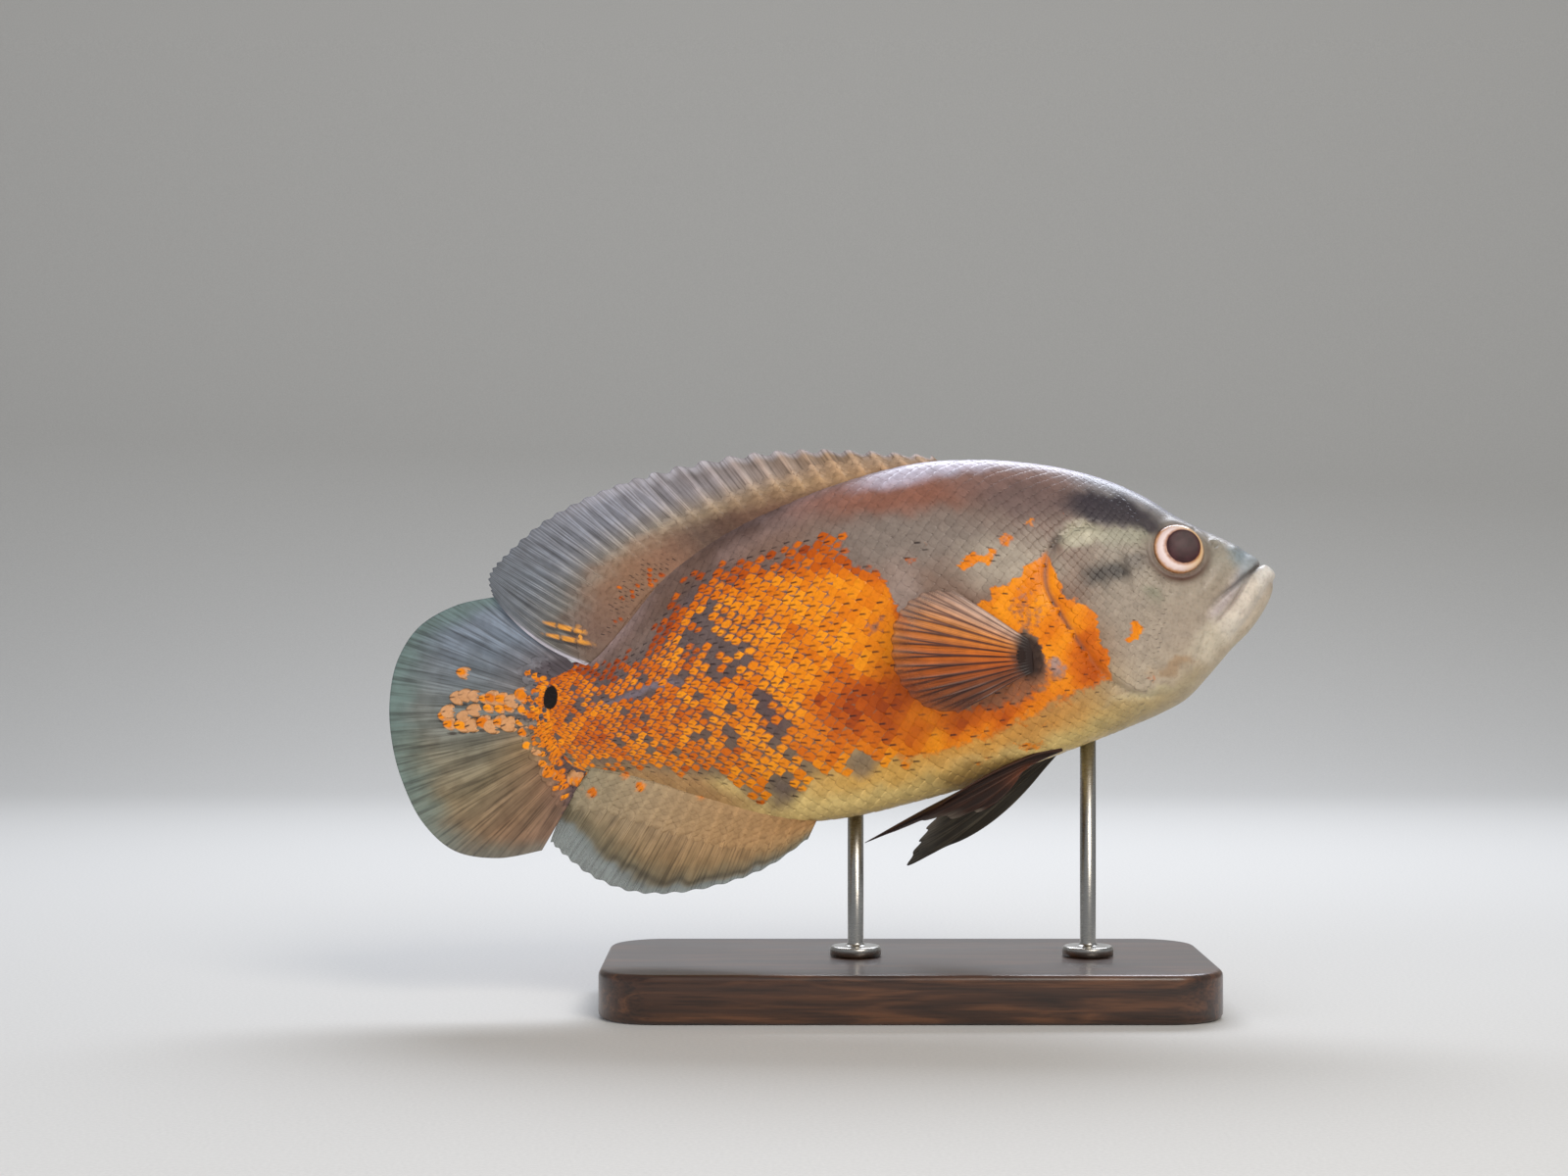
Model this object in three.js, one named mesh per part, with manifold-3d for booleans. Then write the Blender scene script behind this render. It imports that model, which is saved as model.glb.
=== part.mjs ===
// An adult oscar, a deep-bodied cichlid, as a life-size museum model on a plain stand.
// Lengths are in millimetres. The fish is shaped in its own frame, +X to the snout, +Z to the
// back and +Y to its left side, and is then pitched nose-up and banked a little on the stand.
import * as THREE from "three";
import { mergeVertices } from "three/addons/utils/BufferGeometryUtils.js";
import Module from "manifold-3d";

const wasm = await Module();
wasm.setup();

// Pose of the fish on its stand
const PITCH_DEG = 10.7; // nose up
const BANK_DEG = 7; // belly turned to the viewer on its right side
const FISH_AT = [-23, 0, 112]; // fish frame origin above the middle of the stand's foot
const JOINT_GAP = 0.3; // between neighbouring solids

// Display stand
const BASE_LENGTH = 190;
const BASE_WIDTH = 92;
const BASE_HEIGHT = 15;
const BASE_CORNER = 18;
const BASE_BEVEL = 2;
const ROD_RADIUS = 2.5;
const ROD_FLANGE_RADIUS = 8;
const ROD_FLANGE_HEIGHT = 3;
const ROD_FRONT_X = 57;
const ROD_REAR_X = -16;

// Body sections from the tail root to the snout. top and bottom are points of the profile
// as x, z. half is the half width, level the height of the widest line as a share of the
// section, and crest and keel how sharp the upper and lower halves are, 1 for an ellipse.
const SECTIONS = [
  { top: [-94, -4], bottom: [-94, -10], half: 0.4, level: 0.5, crest: 1, keel: 1 },
  { top: [-92.5, 9.5], bottom: [-92.5, -21.5], half: 1.8, level: 0.5, crest: 1, keel: 1 },
  { top: [-85, 10.8], bottom: [-85, -26.2], half: 4.4, level: 0.5, crest: 1.05, keel: 1.05 },
  { top: [-75, 12], bottom: [-75, -29.2], half: 7, level: 0.5, crest: 1.15, keel: 1.1 },
  { top: [-63, 22], bottom: [-63, -34.8], half: 9.8, level: 0.47, crest: 1.4, keel: 1.25 },
  { top: [-48, 34.5], bottom: [-48, -42.5], half: 13, level: 0.46, crest: 1.45, keel: 1.3 },
  { top: [-29, 42.4], bottom: [-29, -50.2], half: 16.6, level: 0.48, crest: 1.35, keel: 1.2 },
  { top: [-8, 47.6], bottom: [-8, -53.6], half: 19.6, level: 0.5, crest: 1.22, keel: 1.02 },
  { top: [14, 51.4], bottom: [14, -52.9], half: 21.6, level: 0.5, crest: 1.12, keel: 0.95 },
  { top: [36, 52.8], bottom: [36, -51], half: 22.6, level: 0.49, crest: 1.06, keel: 0.92 },
  { top: [56, 50.2], bottom: [55, -47.9], half: 22.8, level: 0.47, crest: 1.02, keel: 0.92 },
  { top: [71, 46.3], bottom: [70, -45.3], half: 22.6, level: 0.44, crest: 1, keel: 0.94 },
  { top: [84, 41.5], bottom: [83, -42.9], half: 21.9, level: 0.42, crest: 1, keel: 0.99 },
  { top: [95, 35.8], bottom: [95, -40.2], half: 20.8, level: 0.42, crest: 0.98, keel: 1.04 },
  { top: [105, 28.6], bottom: [105.5, -36.8], half: 19.3, level: 0.44, crest: 0.96, keel: 1.05 },
  { top: [113.5, 20.6], bottom: [114.5, -30.4], half: 17.5, level: 0.48, crest: 0.94, keel: 1.02 },
  { top: [120.5, 15], bottom: [122, -24.4], half: 15.2, level: 0.5, crest: 0.92, keel: 0.98 },
  { top: [126.5, 11], bottom: [128.5, -20], half: 12.9, level: 0.5, crest: 0.92, keel: 0.95 },
  { top: [131.3, 6.8], bottom: [133.6, -15.4], half: 10.4, level: 0.5, crest: 0.92, keel: 0.93 },
  { top: [135, 3.2], bottom: [137.3, -10.9], half: 7.6, level: 0.5, crest: 0.95, keel: 0.95 },
  { top: [137.6, 0.4], bottom: [139.4, -7], half: 4.6, level: 0.5, crest: 1, keel: 1 },
  { top: [139.6, -2.6], bottom: [140, -4.2], half: 1, level: 0.5, crest: 1, keel: 1 },
];
const NECK = 13; // section from which the skin is shaped more finely, towards the snout
const BODY_ROWS = 2; // per section behind it
const HEAD_ROWS = 4;
const COLUMNS = 38;

// Mouth, from the front of the gape to its corner, and the back of the jaw below it, as x, z
const GAPE = [[144, 1.6], [135.5, 0.4], [131.6, -2.5], [128.1, -6.2], [124, -10.6], [119.9, -14], [115.3, -17]];
const GAPE_OPEN = 0.8; // height of the slit between the lips
const JAW_REAR = [[115.3, -17], [108, -28], [103, -44]];

// Gill cover: its free rear edge from the top of the opening to the throat, and the edge of
// the cheek in front of it, both as x, z
const GILL_EDGE = [
  [89.5, 18.4], [84.6, 20.6], [78.8, 20.1], [73.4, 16.6], [69.6, 11], [68.2, 4], [70.4, -4],
  [74.6, -14.5], [79.4, -24.5], [85.4, -31], [93, -34], [100.6, -33.6],
];
const CHEEK_EDGE = [[90.8, 14.5], [91.8, 4], [91.2, -8], [91, -17], [94.2, -25], [100.8, -30.2]];
const GILL_PLATE_THICKNESS = 4;
const NAPE_CUT = [[62, 60], [74.6, 18], [78, -12], [90, -56]]; // head from torso
const STALK_CUT = [[-59, 60], [-58, 0], [-60, -60]]; // torso from tail stalk

// Eye and nostril
const EYE_AT = [110.4, 8.4]; // x, z of the middle
const EYE_LOOK = [0.12, 1, 0.13]; // the way the left eye faces
const EYE_RADIUS = 7.7;
const EYE_BULGE = 4.6; // half thickness of the flattened ball
const EYE_SUNK = 2; // of its middle below the skin
const PUPIL_RADIUS = 4.9;
const PUPIL_DEPTH = 1.6;
const PUPIL_PROUD = 0.3;
const NOSTRIL_AT = [122.3, 8.4];
const NOSTRIL_RADIUS = 1.1;

// Folds of the skin that follow a line of the side view. A ridge or groove has its middle at
// offset from the line and fades over width. A step rises at the line over up and sinks away
// again over away. ends are the shares of the line over which the fold starts and stops.
const FOLDS = [
  { name: "upper lip", line: GAPE, offset: -2.4, width: 2.2, rise: 1.1, ends: [0, 0.14] },
  { name: "crease above it", line: GAPE, offset: -5.6, width: 1.8, rise: -0.5, ends: [0, 0.1] },
  { name: "lower lip", line: GAPE, offset: 3.1, width: 2.8, rise: 1.3, ends: [0, 0.14] },
  { name: "crease below it", line: GAPE, offset: 7.4, width: 2.2, rise: -0.4, ends: [0, 0.2] },
  { name: "gill opening", line: GILL_EDGE, offset: -1.2, width: 1.6, rise: -0.5, ends: [0.1, 0.2] },
];
const STEPS = [
  { name: "gill cover", line: GILL_EDGE, rise: 1, up: 3, away: [4, 16], ends: [0.1, 0.2] },
  { name: "cheek", line: CHEEK_EDGE, rise: 0.6, up: 2.5, away: [3, 9], ends: [0.15, 0.15] },
];
const FOLDS_FROM_X = 60; // there are none behind this
const ORBIT = { beyond: 1.2, width: 1.6, rise: 0.8 }; // swollen ring round the eye

// Uniform Catmull-Rom through a list of numbers or points, t from 0 to the last index
function along(list, t) {
  const i = Math.min(Math.max(Math.floor(t), 0), list.length - 2);
  const f = t - i;
  const pick = (k) => list[Math.min(Math.max(k, 0), list.length - 1)];
  const mix = (a, b, c, d) =>
    0.5 * (2 * b + (c - a) * f + (2 * a - 5 * b + 4 * c - d) * f * f + (3 * b - a - 3 * c + d) * f ** 3);
  const [a, b, c, d] = [pick(i - 1), pick(i), pick(i + 1), pick(i + 2)];
  return Array.isArray(b) ? b.map((_, k) => mix(a[k], b[k], c[k], d[k])) : mix(a, b, c, d);
}

const column = (key) => SECTIONS.map((section) => section[key]);
const FIELDS = Object.fromEntries(Object.keys(SECTIONS[0]).map((key) => [key, column(key)]));

// Point of the bare skin at section position s and angle a, 0 on the left flank, 90 on the back
function flankPoint(s, a, inset = 0) {
  const top = along(FIELDS.top, s);
  const bottom = along(FIELDS.bottom, s);
  const level = along(FIELDS.level, s);
  const middle = top.map((value, k) => bottom[k] + (value - bottom[k]) * level);
  const rising = Math.sin(a) >= 0;
  const end = rising ? top : bottom;
  const sharp = along(rising ? FIELDS.crest : FIELDS.keel, s);
  const reach = Math.hypot(end[0] - middle[0], end[1] - middle[1]);
  const lift = Math.abs(Math.sin(a)) ** sharp * Math.max(1 - inset / Math.max(reach, 1e-6), 0.02);
  const half = Math.max(along(FIELDS.half, s) - inset, 0.02);
  return [
    middle[0] + (end[0] - middle[0]) * lift,
    Math.sign(Math.cos(a)) * half * Math.abs(Math.cos(a)) ** sharp,
    middle[1] + (end[1] - middle[1]) * lift,
  ];
}

// Signed distance from x, z to a chain of points, positive on the left of its direction,
// with the share of the chain's length where the nearest point lies
function chainDistance(chain, x, z) {
  let best = { distance: Infinity, share: 0 };
  chain.slice(1).forEach(([bx, bz], i) => {
    const [ax, az] = chain[i];
    const [dx, dz] = [bx - ax, bz - az];
    const f = Math.min(Math.max(((x - ax) * dx + (z - az) * dz) / (dx * dx + dz * dz), 0), 1);
    const gap = Math.hypot(x - ax - dx * f, z - az - dz * f);
    if (gap < Math.abs(best.distance)) {
      const side = dx * (z - az) - dz * (x - ax) >= 0 ? 1 : -1;
      best = { distance: side * gap, share: (i + f) / (chain.length - 1) };
    }
  });
  return best;
}

const bell = (value, width) => Math.exp(-((value / width) ** 2));
const ramp = (value, low, high) => {
  const f = Math.min(Math.max((value - low) / (high - low), 0), 1);
  return f * f * (3 - 2 * f);
};

// Height of the skin's own forms above the bare flank: lips, gill cover, cheek and orbit
function relief(x, z) {
  if (x < FOLDS_FROM_X) return 0;
  const shown = (share, [start, stop]) =>
    (start ? ramp(share, 0, start) : 1) * (stop ? ramp(1 - share, 0, stop) : 1);
  const folds = FOLDS.map(({ line, offset, width, rise, ends }) => {
    const { distance, share } = chainDistance(line, x, z);
    return rise * bell(distance - offset, width) * shown(share, ends);
  });
  const steps = STEPS.map(({ line, rise, up, away, ends }) => {
    const { distance, share } = chainDistance(line, x, z);
    return rise * ramp(distance, 0, up) * (1 - ramp(distance, ...away)) * shown(share, ends);
  });
  const fromEye = Math.hypot(x - EYE_AT[0], z - EYE_AT[1]);
  const orbit = ORBIT.rise * bell(fromEye - EYE_RADIUS - ORBIT.beyond, ORBIT.width);
  return [...folds, ...steps].reduce((sum, value) => sum + value, orbit);
}

const minus = (a, b) => a.map((value, k) => value - b[k]);
const plus = (a, b, by = 1) => a.map((value, k) => value + b[k] * by);
const cross = (a, b) => [a[1] * b[2] - a[2] * b[1], a[2] * b[0] - a[0] * b[2], a[0] * b[1] - a[1] * b[0]];
const unit = (a) => a.map((value) => value / Math.hypot(...a));

// Point of the finished skin, raised along its normal by the relief and by out
function skinPoint(s, a, out = 0, inset = 0) {
  const step = 0.02;
  const last = SECTIONS.length - 1;
  const p = flankPoint(s, a, inset);
  const down = flankPoint(Math.max(s - step, 0), a, inset);
  const up = flankPoint(Math.min(s + step, last), a, inset);
  const round = minus(flankPoint(s, a + step, inset), flankPoint(s, a - step, inset));
  const normal = unit(cross(round, minus(up, down)));
  return plus(p, normal, out + (inset ? 0 : relief(p[0], p[2])));
}

// Closed solid of a mesh geometry, its loose seams merged
function solidOf(geometry) {
  const bare = geometry.clone();
  Object.keys(bare.attributes)
    .filter((name) => name !== "position")
    .forEach((name) => bare.deleteAttribute(name));
  const merged = mergeVertices(bare, 1e-4);
  const mesh = new wasm.Mesh({
    numProp: 3,
    vertProperties: Float32Array.from(merged.attributes.position.array),
    triVerts: Uint32Array.from(merged.index.array),
  });
  mesh.merge();
  const solid = new wasm.Manifold(mesh);
  return solid.volume() < 0 ? turned(merged) : solid;
}

// The same solid with every face turned round
function turned(geometry) {
  const index = Uint32Array.from(geometry.index.array);
  for (let i = 0; i < index.length; i += 3) [index[i + 1], index[i + 2]] = [index[i + 2], index[i + 1]];
  const mesh = new wasm.Mesh({
    numProp: 3,
    vertProperties: Float32Array.from(geometry.attributes.position.array),
    triVerts: index,
  });
  mesh.merge();
  return new wasm.Manifold(mesh);
}

const fromPoints = (points, faces) =>
  new THREE.BufferGeometry()
    .setAttribute("position", new THREE.Float32BufferAttribute(points.flat(), 3))
    .setIndex(faces.flat());

// Loft of the skin between two section positions, closed by a middle point at each end
function loft({ out = 0, inset = 0, from = 0, to = SECTIONS.length - 1, relieved = true }) {
  const positions = [];
  for (let s = from; s < to; s++) {
    const share = s < NECK ? BODY_ROWS : HEAD_ROWS;
    for (let i = 0; i < share; i++) positions.push(s + i / share);
  }
  positions.push(to);
  const rows = positions.length - 1;
  const points = [];
  for (const s of positions) {
    for (let k = 0; k < COLUMNS; k++) {
      const a = (2 * Math.PI * (k + 0.5)) / COLUMNS;
      points.push(relieved ? skinPoint(s, a, out, inset) : flankPoint(s, a, inset));
    }
  }
  const faces = [];
  for (let row = 0; row < rows; row++)
    for (let k = 0; k < COLUMNS; k++) {
      const [a, b] = [row * COLUMNS + k, row * COLUMNS + ((k + 1) % COLUMNS)];
      faces.push([a, b, b + COLUMNS], [a, b + COLUMNS, a + COLUMNS]);
    }
  [0, rows].forEach((row) => {
    const ring = points.slice(row * COLUMNS, (row + 1) * COLUMNS);
    const middle = ring.reduce((sum, p) => plus(sum, p, 1 / COLUMNS), [0, 0, 0]);
    const centre = points.push(middle) - 1;
    for (let k = 0; k < COLUMNS; k++) {
      const [a, b] = [row * COLUMNS + k, row * COLUMNS + ((k + 1) % COLUMNS)];
      faces.push(row ? [a, b, centre] : [b, a, centre]);
    }
  });
  return solidOf(fromPoints(points, faces));
}

// Slab across the whole fish, or one side of it, over an outline of x, z points
function slab(outline, yFrom = -60, yTo = 60) {
  const shape = new THREE.Shape(outline.map(([x, z]) => new THREE.Vector2(x, z)));
  const geometry = new THREE.ExtrudeGeometry(shape, { depth: yTo - yFrom, bevelEnabled: false });
  geometry.rotateX(Math.PI / 2).translate(0, yTo, 0);
  return solidOf(geometry);
}

// Chain of points moved sideways, positive to the left of its direction
function shifted(chain, by) {
  return chain.map(([x, z], i) => {
    const a = chain[Math.max(i - 1, 0)];
    const b = chain[Math.min(i + 1, chain.length - 1)];
    const length = Math.hypot(b[0] - a[0], b[1] - a[1]);
    return [x - ((b[1] - a[1]) / length) * by, z + ((b[0] - a[0]) / length) * by];
  });
}

const smoothed = (chain, steps = 3) =>
  Array.from({ length: (chain.length - 1) * steps + 1 }, (_, i) => along(chain, i / steps));
const wall = (chain) => slab([...shifted(chain, JOINT_GAP / 2), ...shifted(chain, -JOINT_GAP / 2).reverse()]);
const largest = (solid) => solid.decompose().sort((a, b) => b.volume() - a.volume())[0];

// Section position and height share of a point of the side view, then the skin there
function skinAt(x, z, side, out = 0) {
  let [low, high] = [0, SECTIONS.length - 1];
  for (let i = 0; i < 30; i++) {
    const s = (low + high) / 2;
    const [top, bottom] = [along(FIELDS.top, s), along(FIELDS.bottom, s)];
    const ahead = (x - bottom[0]) * (top[1] - bottom[1]) - (z - bottom[1]) * (top[0] - bottom[0]);
    if (ahead > 0) low = s;
    else high = s;
  }
  const s = (low + high) / 2;
  const [top, bottom] = [along(FIELDS.top, s), along(FIELDS.bottom, s)];
  const level = along(FIELDS.level, s);
  const share = (z - bottom[1]) / (top[1] - bottom[1]);
  const [rising, climb] = share >= level ? [1, (share - level) / (1 - level)] : [-1, (level - share) / level];
  const sharp = along(rising > 0 ? FIELDS.crest : FIELDS.keel, s);
  const a = rising * Math.asin(Math.min(climb, 1) ** (1 / sharp));
  return skinPoint(s, side > 0 ? a : Math.PI - a, out);
}

const body = loft({});
const bodyGrown = loft({ out: JOINT_GAP });

// Eyes: a flattened ball in a socket, with the pupil as a plug in its face
function eyeParts(side) {
  const [x, z] = EYE_AT;
  const at = skinAt(x, z, side);
  const outward = unit([EYE_LOOK[0], side * EYE_LOOK[1], EYE_LOOK[2]]);
  const turn = new THREE.Quaternion().setFromUnitVectors(
    new THREE.Vector3(0, 0, 1),
    new THREE.Vector3(...outward),
  );
  const middle = plus(at, outward, -EYE_SUNK);
  const ball = (grow) =>
    solidOf(
      new THREE.SphereGeometry(1, 18, 10)
        .rotateX(Math.PI / 2)
        .scale(EYE_RADIUS + grow, EYE_RADIUS + grow, EYE_BULGE + grow)
        .applyQuaternion(turn)
        .translate(...middle),
    );
  const plug = (radius, depth) =>
    solidOf(
      new THREE.CylinderGeometry(radius, radius, 10, 14)
        .rotateX(Math.PI / 2)
        .translate(0, 0, EYE_BULGE - depth + 5)
        .applyQuaternion(turn)
        .translate(...middle),
    );
  return {
    ball: ball(0).subtract(plug(PUPIL_RADIUS + JOINT_GAP, PUPIL_DEPTH + JOINT_GAP)),
    pupil: ball(PUPIL_PROUD).intersect(plug(PUPIL_RADIUS, PUPIL_DEPTH)),
    socket: ball(JOINT_GAP),
  };
}

// Nostril: a small round pit in the snout
function nostril(side) {
  const at = skinAt(...NOSTRIL_AT, side);
  return solidOf(new THREE.SphereGeometry(NOSTRIL_RADIUS, 10, 8).translate(...at));
}

// Closed outline of x, z points grown by an even margin
function grown(outline, by) {
  const area = outline.reduce((sum, [x, z], i) => {
    const [nx, nz] = outline[(i + 1) % outline.length];
    return sum + x * nz - nx * z;
  }, 0);
  const side = Math.sign(area) * by;
  return outline.map((point, i) => {
    const before = outline[(i + outline.length - 1) % outline.length];
    const after = outline[(i + 1) % outline.length];
    const [p, q] = [unit(minus(point, before)), unit(minus(after, point))];
    const share = side / (1 + p[0] * q[0] + p[1] * q[1]);
    return [point[0] + (p[1] + q[1]) * share, point[1] - (p[0] + q[0]) * share];
  });
}

// Gill cover: a curved plate between the cheek's edge and the free edge behind it
const gillOutline = (grow) => grown([...smoothed(GILL_EDGE), ...smoothed(CHEEK_EDGE).reverse()], grow);

const LINING_FROM = 9;
const LINING_TO = 16;
const plateLining = loft({ inset: GILL_PLATE_THICKNESS, from: LINING_FROM, to: LINING_TO });
const plateBed = loft({ inset: GILL_PLATE_THICKNESS + JOINT_GAP, from: LINING_FROM, to: LINING_TO });
const sideSlab = (outline, side) => (side > 0 ? slab(outline, 0, 60) : slab(outline, -60, 0));
const gillCover = (side) =>
  largest(body.intersect(sideSlab(gillOutline(0), side)).subtract(plateLining));
const gillBed = (side) => sideSlab(gillOutline(JOINT_GAP), side).subtract(plateBed);

// Lower jaw: everything below the gape and in front of the line from its corner to the chin
const jawOutline = (grow) =>
  grown([...smoothed(GAPE, 4), ...smoothed(JAW_REAR).slice(1), [150, -60], [150, 0]], grow);

const eyes = { left: eyeParts(1), right: eyeParts(-1) };
const lowerJaw = largest(body.intersect(slab(jawOutline(-GAPE_OPEN / 2))));
const cut = [
  eyes.left.socket, eyes.right.socket, nostril(1), nostril(-1), gillBed(1), gillBed(-1),
  slab(jawOutline(GAPE_OPEN / 2)), wall(smoothed(NAPE_CUT)), wall(smoothed(STALK_CUT)),
].reduce((rest, tool) => rest.subtract(tool), body);
const flesh = cut.decompose().sort((a, b) => b.volume() - a.volume()).slice(0, 3);
const middleX = (solid) => {
  const box = solid.boundingBox();
  return (box.min[0] + box.max[0]) / 2;
};
const [tailStalk, torso, head] = flesh.sort((a, b) => middleX(a) - middleX(b));

// Fins. Each is a thin web whose rays are ridges of its own two faces. Rays and the strips of
// web between them are its columns, each with a root, a tip and its thickness on the way.
const FIN_STEPS = 5; // from root to tip
const EDGE_THICKNESS = 0.6;
const WEB_THICKNESS = 0.9; // just past the fleshy foot
const blend = (a, b, f) => a + (b - a) * f;
const onChain = (chain, share) => along(chain, share * (chain.length - 1));
const flat = ([x, z]) => [x, 0, z];

function web(columns, { bow = () => [0, 0, 0], crowd = 1 } = {}) {
  const last = columns.length - 1;
  const shares = Array.from({ length: FIN_STEPS + 1 }, (_, k) => (k / FIN_STEPS) ** crowd);
  const centre = columns.map(({ root, tip }, c) =>
    shares.map((v) => plus(plus(root, minus(tip, root), v), bow(c / last, v))),
  );
  const normalAt = (c, k) => {
    const acrossAt = (i) => centre[Math.min(Math.max(i, 0), last)][k];
    const outAt = (i) => centre[c][Math.min(Math.max(i, 0), FIN_STEPS)];
    return unit(cross(minus(acrossAt(c + 1), acrossAt(c - 1)), minus(outAt(k + 1), outAt(k - 1))));
  };
  const face = (side) =>
    columns.flatMap(({ thick }, c) =>
      shares.map((v, k) => plus(centre[c][k], normalAt(c, k), (side * thick(v)) / 2)),
    );
  const points = [...face(1), ...face(-1)];
  const width = FIN_STEPS + 1;
  const back = columns.length * width;
  const faces = [];
  for (let c = 0; c < last; c++)
    for (let k = 0; k < FIN_STEPS; k++) {
      const [p, q] = [c * width + k, (c + 1) * width + k];
      faces.push([p, q, q + 1], [p, q + 1, p + 1]);
      faces.push([back + p, back + q + 1, back + q], [back + p, back + p + 1, back + q + 1]);
    }
  for (let c = 0; c < last; c++) {
    const [p, q] = [c * width, (c + 1) * width];
    faces.push([p, back + p, back + q], [p, back + q, q]);
    const [r, t] = [q + FIN_STEPS, p + FIN_STEPS];
    faces.push([r, back + r, back + t], [r, back + t, t]);
  }
  for (let k = 0; k < FIN_STEPS; k++) {
    const q = last * width + k;
    faces.push([k + 1, back + k + 1, back + k], [k + 1, back + k, k]);
    faces.push([q, back + q, back + q + 1], [q, back + q + 1, q + 1]);
  }
  return solidOf(fromPoints(points, faces));
}

// Thickness from a fleshy foot to a thin tip, where foot is full at the root and gone at reach
const tapered = ({ foot, reach }, stem) => (v) =>
  v < reach ? blend(foot, stem, ramp(v, 0, reach)) : blend(stem, EDGE_THICKNESS, (v - reach) / (1 - reach));

// Rays and webs in turn over the share from..to of a fin, placed by root(u) and tip(u). The
// web ends short of the rays by lappet.
function rayColumns({ rays, root, tip, flesh, ray, webAt = WEB_THICKNESS, lappet = 0, from = 0, to = 1 }) {
  const count = 2 * rays - 1;
  return Array.from({ length: count }, (_, c) => {
    const u = blend(from, to, c / (count - 1));
    const isRay = c % 2 === 0;
    const [r, t] = [root(u), tip(u)];
    return {
      root: r,
      tip: isRay ? t : plus(t, unit(minus(r, t)), lappet),
      thick: tapered(flesh, isRay ? ray : webAt),
    };
  });
}

const finished = (solid) => largest(solid.subtract(bodyGrown));

// Dorsal fin: spines leaning back, then soft rays up to the rear lobe
const DORSAL_ROOT = [[47, 47], [20, 47], [-8, 43], [-34, 36], [-54, 26], [-66, 15], [-76, 8]];
const DORSAL_TIP = [
  [42, 54.2], [24, 59.2], [3, 64], [-19, 66.2], [-43, 65.6], [-64, 62.2], [-82, 56.4], [-96, 48.2],
  [-102.6, 42.8], [-102.8, 36.8],
];
const SPINY_SHARE = 0.46; // of the whole fin
const SPINY_GAP_SHARE = 0.0015; // half the gap behind it
const DORSAL_SPINES = 13;
const DORSAL_RAYS = 19;
const DORSAL_WAVE = { sway: 2.2, waves: 1.1 }; // sideways, growing to the tips
function dorsalPart({ from, to, ...shape }) {
  const root = (u) => flat(onChain(DORSAL_ROOT, u));
  const tip = (u) => flat(onChain(DORSAL_TIP, u));
  const { sway, waves } = DORSAL_WAVE;
  const bow = (c, v) => [0, sway * v * v * Math.sin(2 * Math.PI * waves * blend(from, to, c)), 0];
  return finished(web(rayColumns({ root, tip, from, to, ...shape }), { bow }));
}
const dorsalSpiny = dorsalPart({
  from: 0, to: SPINY_SHARE - SPINY_GAP_SHARE, rays: DORSAL_SPINES, ray: 1.8, lappet: 1.7,
  flesh: { foot: 4.2, reach: 0.35 },
});
const dorsalSoft = dorsalPart({
  from: SPINY_SHARE + SPINY_GAP_SHARE, to: 1, rays: DORSAL_RAYS, ray: 1.6, lappet: 0.7,
  flesh: { foot: 5, reach: 0.4 },
});

// Anal fin: short spines, then soft rays on a deep fleshy foot up to the rear lobe
const ANAL_ROOT = [[-12, -48], [-30, -45], [-48, -38], [-64, -30], [-81, -23]];
const ANAL_TIP = [
  [-19, -57.6], [-32, -63.6], [-46, -66.4], [-62, -66.6], [-76, -63.6], [-87, -57], [-94.4, -49],
  [-97, -43.4],
];
const ANAL_RAYS = 18;
const ANAL_SWAY = -1.8;
const analFin = finished(
  web(
    rayColumns({
      rays: ANAL_RAYS,
      root: (u) => flat(onChain(ANAL_ROOT, u)),
      tip: (u) => flat(onChain(ANAL_TIP, u)),
      flesh: { foot: 7, reach: 0.55 },
      ray: 1.7,
      lappet: 0.6,
    }),
    { bow: (c, v) => [0, ANAL_SWAY * v * v * Math.sin(2 * Math.PI * c), 0] },
  ),
);

// Tail fin: a rounded fan of rays, each of which forks on the way to the margin
const TAIL_RAYS = 14;
const TAIL_FORK = 0.6; // share of the length where a ray has forked
const TAIL_FOOT = { foot: 4.4, reach: 0.3 };
const TAIL_RAY = 1.7;
const TAIL_SWAY = 3;
const TAIL_ROOT = [[-84, 8], [-87.5, 1], [-88.5, -7], [-87.5, -15], [-84, -22.5]];
const TAIL_TIP = [
  [-101.5, 36], [-115, 35.6], [-127.5, 31], [-136, 21.6], [-140.4, 9.6], [-141.8, -3], [-140.6, -16],
  [-136.4, -30], [-128, -40.8], [-115, -45.6], [-101, -45.8],
];
const TAIL_COLUMNS = ["web", "branch", "fork", "branch"];
function tailColumns() {
  const count = TAIL_RAYS * TAIL_COLUMNS.length + 1;
  const branch = tapered(TAIL_FOOT, TAIL_RAY);
  const fork = (v) =>
    v < TAIL_FOOT.reach ? branch(v) : blend(TAIL_RAY, EDGE_THICKNESS, ramp(v, TAIL_FOOT.reach, TAIL_FORK));
  const thick = { web: tapered(TAIL_FOOT, WEB_THICKNESS), branch, fork };
  return Array.from({ length: count }, (_, c) => ({
    root: flat(onChain(TAIL_ROOT, c / (count - 1))),
    tip: flat(onChain(TAIL_TIP, c / (count - 1))),
    thick: thick[TAIL_COLUMNS[c % TAIL_COLUMNS.length]],
  }));
}
const tailFin = finished(web(tailColumns(), { bow: (c, v) => [0, TAIL_SWAY * v * v * Math.cos(Math.PI * c), 0] }));

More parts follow.
